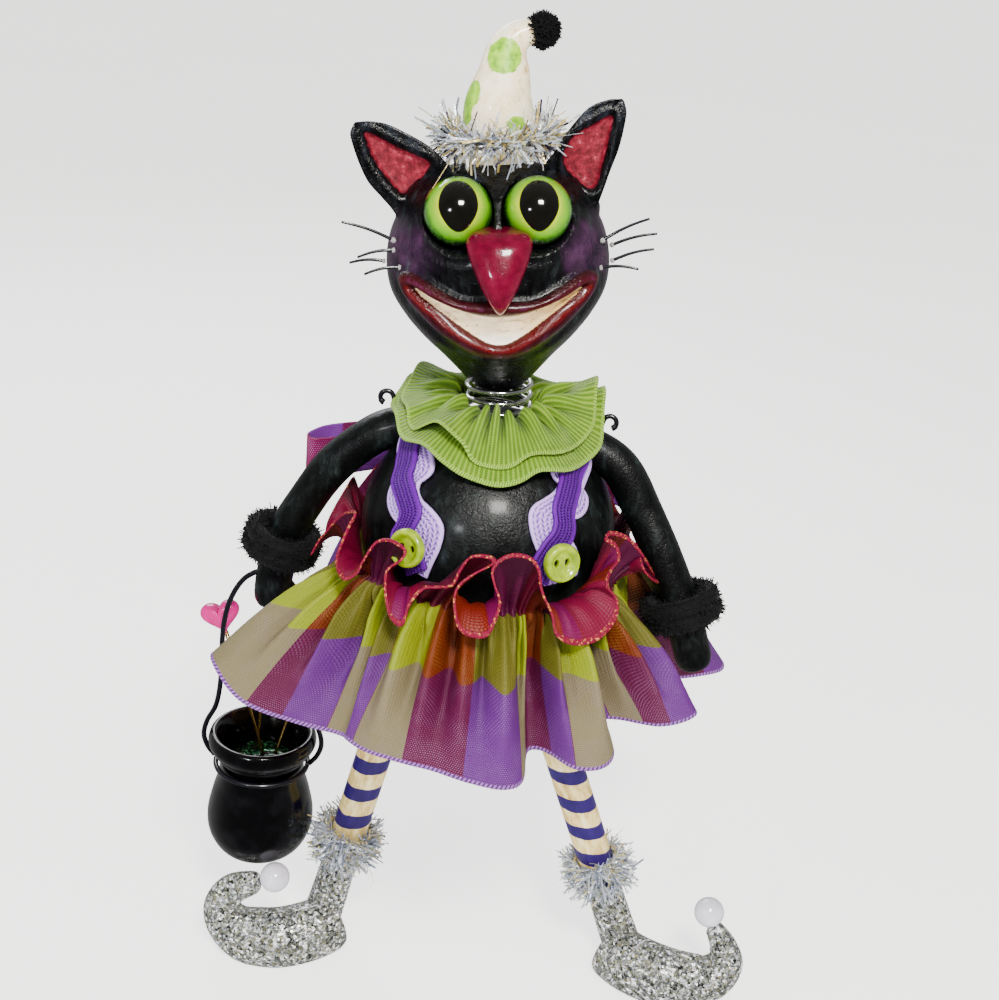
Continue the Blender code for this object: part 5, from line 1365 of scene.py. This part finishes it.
def frill_edge(azimuth):
    """Where the frill's edge lies for the cloth that leaves the waist at each azimuth. The front
    is longer than its share of the waist, so it doubles back on itself in loops."""
    first, last = FRILL_SPAN
    front = along(round_axis(*np.array(FRILL).T), 1200)
    back = along(round_axis(*np.array(FRILL_BACK).T), 600)
    leaves = np.concatenate([np.linspace(first, last, 1200), np.linspace(last, first + 360, 600)])
    edge = np.vstack([front, back])
    turned = (azimuth - first) % 360 + first
    return np.stack([np.interp(turned, leaves, part) for part in edge.T], -1)


def stripe_marks(run):
    """Which of the three sorts of stripe each place along the hem lies in."""
    starts = np.array(STRIPES + BACK_STRIPES)
    which = np.clip(np.searchsorted(starts[:, 0], run, side="right") - 1, 0, None)
    return starts[which, 1]


def plaid_finish():
    """Sheer two-tone weave: three sorts of stripe crossed by a header band, a lime band and a
    lavender band, with bright threads in every second crossing, painted as glints that are
    stronger in patches of painted sheen, painted shade in the folds, and stitched edges."""
    plaid = Finish("plaid_ribbon_weave", {"Specular IOR Level": 0.2})
    flat = plaid.node("UVMap", {}, "UV", uv_map="cloth")
    along_it = flat.part("X")
    down = flat.part("Y")
    stripe = plaid.mark("stripe")
    second = stripe.rise(0.45, 0.55)
    third = stripe.rise(1.45, 1.55)
    shade = plaid.noise(6.0)
    heads = third.blend(second.blend(colour(98, 0, 38), colour(96, 14, 6)),
                        colour(96, 0, 58))
    limes = third.blend(second.blend(colour(172, 198, 0), colour(140, 50, 0)),
                        colour(124, 126, 34))
    lilacs = third.blend(second.blend(colour(156, 150, 100), colour(112, 0, 70)),
                         colour(118, 42, 150))
    under = (down + (shade - 0.5) * 0.6).rise(HEADER_WIDE + 1.4, HEADER_WIDE + 1.8)
    lower = down.rise(32.3, 32.7)
    base = lower.blend(under.blend(heads, limes), lilacs)
    warp = along_it.wave(0.52)
    weft = down.wave(0.52)
    check = (along_it + 0.26 * (down / 0.52).whole()).wave(0.52)
    # Painted highlight: pale glints on every second thread crossing, stronger where the broad
    # noise runs high, as painted sheen.
    gloss = shade.rise(0.40, 0.68)
    glint = (check * weft).rise(0.45, 0.85) * (gloss * 0.4 + 0.14)
    satin = third.blend(second.blend(colour(132, 0, 52), colour(190, 96, 20)),
                        colour(138, 14, 104))
    sparkle = lower.blend(under.blend(satin, colour(222, 212, 90)), colour(210, 172, 222))
    base = glint.blend(base, sparkle)
    hollow = (1.0 - warp) * (1.0 - weft)
    base = (hollow.rise(0.4, 0.9) * 0.3).blend(base, base * 0.4)
    # Painted shade: the mark "fold" darkens the cloth in the folds.
    base = (plaid.mark("fold") * 0.9).blend(base, base * (0.16, 0.1, 0.16))
    hem = down.rise(RIBBON_WIDE - 1.1, RIBBON_WIDE - 0.9)
    top = down.rise(0.9, 0.7)
    stitch = (along_it + down * 0.5).wave(0.95)
    hem_thread = stitch.blend(colour(70, 20, 92), colour(150, 104, 176))
    top_thread = plaid.noise(0.7).rise(0.56, 0.66).blend(colour(122, 2, 44),
                                                        colour(214, 140, 66))
    top_thread = (stitch * 0.6).blend(top_thread, colour(90, 8, 34))
    base = hem.blend(top.blend(base, top_thread), hem_thread)
    height = (warp + weft) * 0.3 + (hem + top) * (stitch * 0.5 + 0.4)
    plaid.paint(0.14, base=base, rough=glint * -0.15 + 0.5, height=height)
    return plaid


def around_mean(numbers, half):
    """The mean of each number of the last axis, a closed round, and so many to either side."""
    return sum(np.roll(numbers, step, axis=-1) for step in range(-half, half + 1)) / (2 * half + 1)


def build_skirt():
    """The ribbon's surface. The frill follows a parabola from the waist to its edge that arches
    up, more where the edge hangs low. Below the waist the radius goes with the power 0.86 and
    the level with the power 1.12 of the share, fine gathers and wider folds fade out, and each
    cone swells, each valley sinks, by a sine of the share. The mark "fold" is painted shade, as
    deep as a point lies behind the cloth to either side."""
    azimuth, hem_radius, hem_level, run, length = skirt_edges(SKIRT_COLUMNS)
    rows = []
    across = []
    ripple = (0.5 + 0.5 * np.sin(run * 2 * np.pi / 4.3 + 2.0 * np.sin(run / 9))) ** 1.4
    foot = round_axis(azimuth, SKIRT_WAIST + 1.9 * ripple, WAIST_Z)
    edge = frill_edge(azimuth)
    arch = np.clip(6.5 - 0.35 * (edge[:, 2] - WAIST_Z), 0.5, 7.5)
    middle = (foot + edge) / 2 + arch[:, None] * (0, 0, 1.0)
    for share in np.linspace(1, 0, HEADER_ROWS)[:-1]:
        stay = 1 - share
        rows.append(stay ** 2 * foot + 2 * share * stay * middle + share ** 2 * edge)
        across.append(HEADER_WIDE * stay)
    fold = np.sin(run * 2 * np.pi / 10.6 + 1.4 * np.sin(run / 14))
    cone = np.clip(hem_radius - around_mean(hem_radius, 56), -8, 5)
    cone = cone * np.where(cone < 0, 0.5, 0.3)
    for share in np.linspace(0, 1, SKIRT_ROWS):
        gathers = (1.9 + 0.6 * ease(share, 0, 0.1)) * (1 - ease(share, 0.08, 0.62)) * ripple
        folds = 3.0 * ease(share, 0.03, 0.3) * (1 - ease(share, 0.45, 1.0)) * (fold - 0.35)
        radius = SKIRT_WAIST + (hem_radius - SKIRT_WAIST) * share ** 0.86 + gathers + folds
        radius = np.maximum(radius + cone * np.sin(np.pi * share ** 0.8), SKIRT_WAIST + 0.4)
        level = WAIST_Z + (hem_level - WAIST_Z) * share ** 1.12
        rows.append(round_axis(azimuth, radius, level))
        across.append(HEADER_WIDE + (RIBBON_WIDE - HEADER_WIDE) * share)
    sheet = np.stack(rows)
    across = np.array(across)
    rings = two_faced(sheet, SKIRT_CLOTH)
    points, faces, cloth = hoop(rings, (length, np.concatenate([across, across[::-1]])))
    stripe = np.broadcast_to(stripe_marks(run), (len(rings), SKIRT_COLUMNS)).ravel()
    # Painted shade in the folds, from how far each point lies behind the cloth within 14 and
    # within 56 columns to either side, less towards the hem; the far side of the cloth gets no
    # less than 0.75.
    reach = np.hypot(sheet[..., 0], sheet[..., 1])
    hollow = (np.clip((around_mean(reach, 14) - reach) * 1.1, 0, 1)
              + np.clip((around_mean(reach, 56) - reach) * 0.3, 0, 0.9))
    hollow = np.clip(hollow, 0, 1) * (1 - 0.3 * across / RIBBON_WIDE)[:, None]
    hollow = np.vstack([hollow, np.maximum(hollow[::-1], 0.75)]).ravel()
    piece = shape("plaid_ribbon_skirt", points, faces, plaid, {"stripe": stripe, "fold": hollow},
                  cloth)
    dress(piece, "plaid_ribbon", "skirt")


plaid = plaid_finish()
build_skirt()


# The bow behind the waist: two open loops of the same ribbon, folded narrow, and a pinched knot.
# It sits on the gathers and has no tails.
BOW_LOOP = [(3.4, 40.6), (15, 44), (29, 40.5), (40, 32), (44.8, 24), (43.6, 20.2), (39.6, 22.4),
            (30, 31), (17, 37.8), (3.4, 38.8)]
BOW_REACH = {-1: 1.03, 1: 0.78}
BOW_ROOT = 3.4
BOW_Z = 123.0
BOW_HALF = 3.6


def build_bow():
    """Each loop's edge follows one plan, and its half height grows from 3.6 to 5.4 outward."""
    parts = []
    stripes = []
    places = []
    for side in (-1, 1):
        plan = along(BOW_LOOP, 150)
        plan = np.stack([BOW_ROOT + (plan[:, 0] - BOW_ROOT) * BOW_REACH[side], plan[:, 1]], -1)
        run = np.concatenate([[0], np.cumsum(np.linalg.norm(np.diff(plan, axis=0), axis=1))])
        open_share = np.clip((plan[:, 0] - BOW_ROOT) / 40, 0, 1)
        half = BOW_HALF + 1.8 * open_share ** 0.8
        across = np.linspace(-1, 1, 26)
        crease = 0.35 * np.cos(across * 9)[None, :] * (1 - open_share)[:, None]
        x = side * plan[:, :1] + 0 * across
        y = plan[:, 1:] + crease
        z = BOW_Z + 2.5 * open_share[:, None] + half[:, None] * across
        rings = two_faced(np.stack([x, y, z], -1).transpose(1, 0, 2), SKIRT_CLOTH, False)
        rings = rings.transpose(1, 0, 2)
        points, faces = skin(rings)
        parts.append((points, faces))
        kinds = 1.0 + (run // 13) % 2
        stripes.append(np.append(np.repeat(kinds, rings.shape[1]), (0, 0)))
        down = np.concatenate([across, across[::-1]]) * 5.6 + 41
        flat = np.stack([np.repeat(run, rings.shape[1]), np.tile(down, len(rings))], -1)
        places.append(np.vstack([flat, flat[:1], flat[-1:]]))
    level = np.linspace(-1, 1, 26)[:, None]
    turns = np.linspace(0, 2 * np.pi, 60, endpoint=False)[None, :]
    half = 4.3 - 1.2 * np.abs(level) ** 2 + 0.25 * np.cos(9 * turns)
    knot = np.stack(np.broadcast_arrays(half * np.cos(turns), 39.7 + half * 0.7 * np.sin(turns),
                                        BOW_Z + level * (BOW_HALF + 0.8)), -1)
    points, faces = skin(knot)
    parts.append((points, faces))
    stripes.append(np.zeros(len(points)))
    places.append(np.stack([points[:, 0] * 1.2 + 20, points[:, 2] * 0 + 6.0], -1))
    points, faces = joined(parts)
    places = np.vstack(places)
    cloth = np.vstack([places[block.ravel()] for block in faces])
    stripes = np.concatenate(stripes)
    # Painted shade: the bow is darkened a little all over, by a fold mark of 0.15.
    piece = shape("plaid_ribbon_bow", points, faces, plaid,
                  {"stripe": stripes, "fold": 0.15 + 0 * stripes}, cloth)
    dress(piece, "plaid_ribbon", "bow")


build_bow()


# The legs: round wooden dowels, hand-painted with purple bands on cream, that are set up into
# the body under the skirt and down into the shoes.
LEG_RADIUS = 4.45
# Each leg's x at a level, its slope, and the middle and pitch of its bands.
LEGS = {-1: (-23.0, 56.1, 0.2186, 50.1, 8.25), 1: (24.5, 58.8, -0.393, 45.0, 7.85)}

banded_wood = Finish("banded_dowel_paint", {"Coat Weight": 0.2, "Coat Roughness": 0.2})
spot = banded_wood.mark("dowel", "Vector")
brushed = banded_wood.noise(1.6, spot * (1.0, 1.0, 0.35), 4.0, 0.6)
edge_wander = banded_wood.noise(3.0, spot, 2.0)
along_it = (spot.part("Z") + (edge_wander - 0.5) * 0.7) % 1000.0
off_band = abs((along_it + 500.0) % 8.0 - 4.0)
cream = banded_wood.mixed((0.3, colour(168, 128, 58)), (0.5, colour(220, 194, 120)),
                          (0.75, colour(242, 230, 180)), by=brushed)
violet = brushed.blend(colour(16, 2, 58), colour(46, 10, 112))
banded_wood.paint(0.1, base=off_band.rise(1.78, 1.9).blend(violet, cream),
                  rough=brushed * 0.2 + 0.35, height=brushed + off_band.rise(1.9, 1.7) * 0.6)


def leg_middle(side, level):
    """Points on a leg's axis, where x is x0 + slope (level - z0)."""
    x, z, slope = LEGS[side][:3]
    return np.stack(np.broadcast_arrays(x + slope * (level - z), 0.0, level), -1)


for side, word in ((-1, "left"), (1, "right")):
    level = np.linspace(24, 100, 60)
    points, faces = skin(tube(leg_middle(side, level), LEG_RADIUS, 48, (0, 1.0, 0)))
    middle_band, pitch = LEGS[side][3:]
    marks = points - leg_middle(side, points[:, 2])
    marks[:, 2] = (points[:, 2] - middle_band) * 8.0 / pitch + 4.0
    piece = shape(f"banded_leg_{word}", points, faces, banded_wood, {"dowel": marks})
    dress(piece, "striped_wood", word + "_leg")


# The shoes: curled clay shoes under coarse silver glitter, with a pearl bead at the tip of each
# and three turns of the same tinsel wound round the ankle.
SHOES = {-1: [(-29.6, -0.6, 5.4, 5.2), (-31.8, -2.4, 4.9, 7.3), (-36.5, -6.8, 4.8, 7.7),
              (-43.5, -10.4, 4.8, 7.7), (-51, -10.4, 4.8, 7.2), (-56.6, -9.2, 7, 5.8),
              (-58.8, -8.8, 12, 4.6), (-56.4, -8.7, 17, 4), (-51.9, -8.9, 19.6, 3.2),
              (-49, -9.1, 20.4, 2.4)],
         1: [(40.6, -0.6, 5.4, 5.2), (42.8, -2.4, 4.9, 7.3), (47.2, -7, 4.8, 7.7),
             (53.8, -10.6, 4.8, 7.7), (61, -11.4, 4.7, 7), (67.6, -10.6, 5.6, 5.8),
             (70.9, -9.8, 9.6, 4.7), (70, -9.4, 14.4, 3.6), (67.9, -9.2, 18.2, 2.7),
             (66.2, -9.1, 20.4, 2.2)]}
BEAD_REACH = {-1: (0.83, -0.1, 0.55), 1: (-0.3, 0, 0.954)}
BEAD_RADIUS = 3.75
ANKLE_Z = {-1: 29.4, 1: 28.2}

glitter = Finish("silver_glitter", {"Coat Weight": 0.4, "Coat Roughness": 0.1})
spot = glitter.spot()
flakes = {}
for size in (0.75, 0.42):
    chip = glitter.cells(size, spot, "Color")
    centre = glitter.cells(size, spot, "Position")
    lean = (chip - 0.5) * 2.0
    offset = spot / size - centre
    tilt = glitter.node("VectorMath", {0: lean, 1: offset}, "Value", operation="DOT_PRODUCT")
    flakes[size] = (chip, tilt)
chip, tilt = flakes[0.75]
fine_chip, fine_tilt = flakes[0.42]
pick = chip.part("X") * 0.6 + fine_chip.part("Y") * 0.4
# The flakes run from near black to white at random: partly the glitter's own silver and dull gold,
# partly painted reflection and sparkle.
silver = glitter.mixed((0.14, colour(30, 32, 32)), (0.30, colour(98, 102, 100)),
                       (0.42, colour(150, 154, 152)), (0.50, colour(146, 140, 90)),
                       (0.58, colour(86, 94, 100)), (0.70, colour(196, 200, 206)),
                       (0.80, colour(255, 255, 255)), by=pick)
glitter.paint(0.3, base=silver, metal=chip.part("Z").rise(0.3, 0.6) * 0.6,
              rough=fine_chip.part("Z") * 0.3 + 0.14, height=tilt * 0.75 + fine_tilt * 0.35)
pearl = Finish("pearl_bead", {"Coat Weight": 0.8, "Coat Roughness": 0.08})
bloom = pearl.noise(3.0)
pearl.paint(0.05, base=bloom.blend(colour(176, 172, 190), colour(226, 222, 230)), rough=0.22,
            height=bloom)


def round_ball(centre, radius):
    """Rings of a ball from below up: at lift a and turn t, (cos a cos t, cos a sin t, sin a)."""
    lift = np.linspace(-np.pi / 2 + 0.02, np.pi / 2 - 0.02, 36)[:, None]
    turns = np.linspace(0, 2 * np.pi, 56, endpoint=False)[None, :]
    return centre + radius * np.stack(np.broadcast_arrays(
        np.cos(lift) * np.cos(turns), np.cos(lift) * np.sin(turns), np.sin(lift)), -1)


for side, word in ((-1, "left"), (1, "right")):
    line = along(SHOES[side], 130)
    share = np.linspace(0, 1, len(line))
    heel = np.sqrt(np.clip(1 - np.clip(1 - share / 0.045, 0, None) ** 2, 0.01, 1))
    tip = np.sqrt(np.clip(1 - np.clip((share - 0.975) / 0.0255, 0, None) ** 2, 0.05, 1))
    rings = tube(line[:, :3], line[:, 3] * heel * tip, 48, (0, 1.0, 0.05))
    foot = leg_middle(side, np.array([24.0]))[0]
    ankle = along([(foot[0] - LEGS[side][2] * 17, -1.6, 7.0),
                   (foot[0] - LEGS[side][2] * 9, -0.9, 14.5), foot - (0, 0, 0.3)], 24)
    stem = skin(tube(ankle, LEG_RADIUS * np.linspace(1.12, 1.0, 24), 40, (0, 1.0, 0.05)))
    points, faces = joined([skin(rings), stem])
    points[:, 2] = np.maximum(points[:, 2], 0.0)
    dress(shape(f"glitter_shoe_{word}", points, faces, glitter), "silver_glitter",
          word + "_shoe")
    reach = unit(np.array(BEAD_REACH[side]))
    centre = line[-1, :3] + reach * (BEAD_RADIUS + 0.6)
    points, faces = skin(round_ball(centre, BEAD_RADIUS))
    dress(shape(f"pearl_bead_{word}", points, faces, pearl), "white_bead", word + "_shoe_bead")

    way = leg_middle(side, np.array([40.0]))[0] - foot
    middle = leg_middle(side, np.array([ANKLE_Z[side]]))[0]
    stack = []
    marks = []
    for shift in (-3.0, 0.2, 3.2):
        points, faces, kinds = tinsel_ring((0, 0, shift), 5.6, 420, 4.2, 0.5, 10, 6.5)
        stack.append((points, faces))
        marks.append(np.clip(kinds * 0.55 + 0.18, 0, 1))
    points, faces = joined(stack)
    points = points @ frame_along(way) + middle
    piece = shape(f"ankle_foil_tinsel_{word}", points, faces, foil,
                  {"kind": np.concatenate(marks)}, smooth=False)
    dress(piece, "tinsel", word + "_ankle_tinsel")


# The cauldron: a turned pot in black glaze with a rolled rim, hung by its wire bail from the
# left hand. Green glitter brew fills it, with three brass pins that carry puffy hearts.
CAULDRON_AT = np.array([-51.7, 3, 22.1])
POT = [(0.02, 0), (5.6, 0.3), (10.2, 2.6), (12.9, 7.2), (13.4, 12.4), (12.3, 18.2), (10.9, 23.4),
       (10.6, 28.2), (12.3, 30.4), (13.5, 32.8), (13.1, 35), (12.2, 35.7), (11.3, 35),
       (9.6, 31.6), (8.8, 28), (9.2, 23.6), (10.7, 18), (11.7, 12.4), (11.2, 8), (8.6, 4.2),
       (0.02, 2.2)]
POT_INSIDE = 13
BREW_Z = 27.4
BAIL = [(12.1, 27.2), (13.9, 29.6), (14.9, 33), (14.1, 37), (12, 41.6), (11, 48), (10.8, 56),
        (10.5, 64), (9.1, 71), (6.4, 76.6), (3.2, 79.4)]
BAIL_TOP = 80.2
BAIL_RADIUS = 0.65
PINS = {"left": ((-51.6, 4.2, 50), (-62.2, 8.2, 80.8)),
        "middle": ((-53.6, 6.4, 50), (-53.4, 13.4, 71.5)),
        "right": ((-48.6, 4.6, 50), (-42.6, 12.8, 71.5))}
PIN_RADIUS = 0.5
HEART_HALF = 5.0
HEART_THICK = 2.6

black_glaze = Finish("black_pot_glaze", {"Specular IOR Level": 0.2, "Coat Weight": 0.55,
                                         "Coat Roughness": 0.03})
pool = black_glaze.noise(5.0, detail=2.0)
black_glaze.paint(0.25, base=pool.rise(0.45, 0.75).blend(colour(1, 1, 2), colour(8, 7, 11)),
                  rough=pool * 0.2 + 0.12, height=pool)
line = along(POT, 150)
turns = np.linspace(0, 2 * np.pi, 96, endpoint=False)[None, :]
dent = 1 + 0.006 * np.sin(3 * turns) * np.ones((150, 1))
points, faces = skin(CAULDRON_AT + np.stack(np.broadcast_arrays(
    line[:, :1] * dent * np.cos(turns), line[:, :1] * dent * np.sin(turns), line[:, 1:]), -1))
dress(shape("glazed_cauldron", points, faces, black_glaze), "black_glaze", "cauldron")

brew_glitter = Finish("green_brew_glitter", {"Coat Weight": 0.6, "Coat Roughness": 0.08})
spot = brew_glitter.spot()
chip = brew_glitter.cells(0.55, spot, "Color")
offset = spot / 0.55 - brew_glitter.cells(0.55, spot, "Position")
tilt = brew_glitter.node("VectorMath", {0: chip - 0.5, 1: offset}, "Value",
                         operation="DOT_PRODUCT")
# The flakes run from near black to pale green at random: partly the glitter's own greens, the
# brightest as painted sparkle.
greens = brew_glitter.mixed((0.2, colour(2, 18, 8)), (0.6, colour(4, 62, 28)),
                            (0.85, colour(18, 130, 60)), (0.97, colour(120, 220, 150)),
                            by=chip.part("X"))
brew_glitter.paint(0.25, base=greens, metal=0.4, rough=chip.part("Y") * 0.3 + 0.15, height=tilt)
inner = np.array(POT[POT_INSIDE:])[::-1]
wall = inner[inner[:, 1] < BREW_Z - 0.2]
fill = [(max(0.02, r - 0.4), z + 0.3) for r, z in wall]
top = np.interp(BREW_Z, inner[:, 1], inner[:, 0])
fill += [(top - 0.4, BREW_Z - 0.15), (5.5, BREW_Z), (3.0, BREW_Z + 0.35), (0.02, BREW_Z + 0.3)]
steps = np.concatenate([np.linspace(fill[k], fill[k + 1], 9)[:-1] for k in range(len(fill) - 1)])
rough_top = 0.25 * np.sin(3 * turns + steps[:, :1]) * (steps[:, 1:] > BREW_Z - 0.3)
points, faces = skin(CAULDRON_AT + np.stack(np.broadcast_arrays(
    steps[:, :1] * np.cos(turns), steps[:, :1] * np.sin(turns), steps[:, 1:] + rough_top), -1))
dress(shape("green_brew", points, faces, brew_glitter), "green_brew", "cauldron_brew")

side_line = [(x, 0.0, z) for x, z in BAIL]
route = [(-x, y, z) for x, y, z in side_line] + [(0.0, 0.0, BAIL_TOP)] + side_line[::-1]
bail = along(np.array(route) + CAULDRON_AT, 220)
loop = np.linspace(0, 2 * np.pi, 97)
neck = CAULDRON_AT + np.stack([11.55 * np.cos(loop), 11.55 * np.sin(loop), 0 * loop + 26.6], -1)
points, faces = joined([skin(tube(bail, BAIL_RADIUS, 16, (0, 1.0, 0))),
                        skin(tube(neck, BAIL_RADIUS, 12, (0, 0, 1.0)))])
dress(shape("wire_bail", points, faces, bristle_black), "black_wire", "cauldron_bail")

brass = Finish("brass_pin", {"Metallic": 1.0})
tarnish = brass.noise(1.5)
brass.paint(0.02, base=tarnish.blend(colour(150, 112, 44), colour(226, 196, 118)), rough=0.25,
            height=tarnish)
hot_pink = Finish("hot_pink_enamel", {"Coat Weight": 0.4, "Coat Roughness": 0.08})
cloud = hot_pink.noise(2.5)
hot_pink.paint(0.1, base=cloud.blend(colour(156, 0, 88), colour(204, 0, 128)), rough=0.25,
               height=cloud)


def heart_rings():
    """A puffy heart: its outline is (16 sin^3 t, 13 cos t - 5 cos 2t - 2 cos 3t - cos 4t) at its
    own scale, and front and back are domed over it by sin and cos of one angle."""
    t = np.linspace(0, 2 * np.pi, 72, endpoint=False)
    x = np.sin(t) ** 3 * HEART_HALF
    z = 13 * np.cos(t) - 5 * np.cos(2 * t) - 2 * np.cos(3 * t) - np.cos(4 * t)
    z = (z + 17) / 16 * HEART_HALF * 0.94
    middle = HEART_HALF * 1.02
    bend = np.linspace(-np.pi / 2 + 0.05, np.pi / 2 - 0.05, 30)[:, None]
    reach = np.cos(bend) ** 0.7
    return np.stack([x * reach, HEART_THICK * np.sin(bend) + 0 * x,
                     middle + (z - middle) * reach], -1)


for word, (foot, tip) in PINS.items():
    foot, tip = np.array(foot, float), np.array(tip, float)
    way = unit(tip - foot)
    stalk = np.linspace(foot, tip + way * 1.2, 12)
    points, faces = skin(tube(stalk, PIN_RADIUS, 12, (0, 1.0, 0)))
    dress(shape(f"brass_pin_{word}", points, faces, brass), "gold_pin", "pin_" + word)
    turned = frame_along(way)
    stand = np.stack([turned[0], turned[1] * np.sign(turned[1][1] + 1e-9), way])
    rings = (tip + way * 0.6) + heart_rings() @ stand
    points, faces = skin(rings)
    span = points[faces[0]]
    inward = np.einsum("ij,ij->i", span[:, 0] - points.mean(0),
                       np.cross(span[:, 1] - points.mean(0), span[:, 2] - points.mean(0))).sum()
    faces = [block[:, ::-1] for block in faces] if inward < 0 else faces
    dress(shape(f"puffy_heart_{word}", points, faces, hot_pink), "pink_heart", "heart_" + word)


# The floor that the doll stands on: a pale plain sheet, lit a little from within so that it
# stays as bright as a photographer's paper.
floor_paint = Finish("pale_floor", {"Roughness": 0.8, "Specular IOR Level": 0.1,
                                    "Emission Strength": 2.2})
cloud = floor_paint.noise(300.0)
pale = cloud.blend(colour(243, 242, 240), colour(248, 247, 245))
floor_paint.paint(0.01, base=pale * 0.7, glow=pale)
FLOOR_HALF = 9000.0
corners = np.array([(-1, -1, 0), (1, -1, 0), (1, 1, 0), (-1, 1, 0)]) * FLOOR_HALF - (0, 0, 0.05)
floor = shape("floor", corners, [np.array([[0, 1, 2, 3]])], floor_paint)
floor.visible_glossy = False
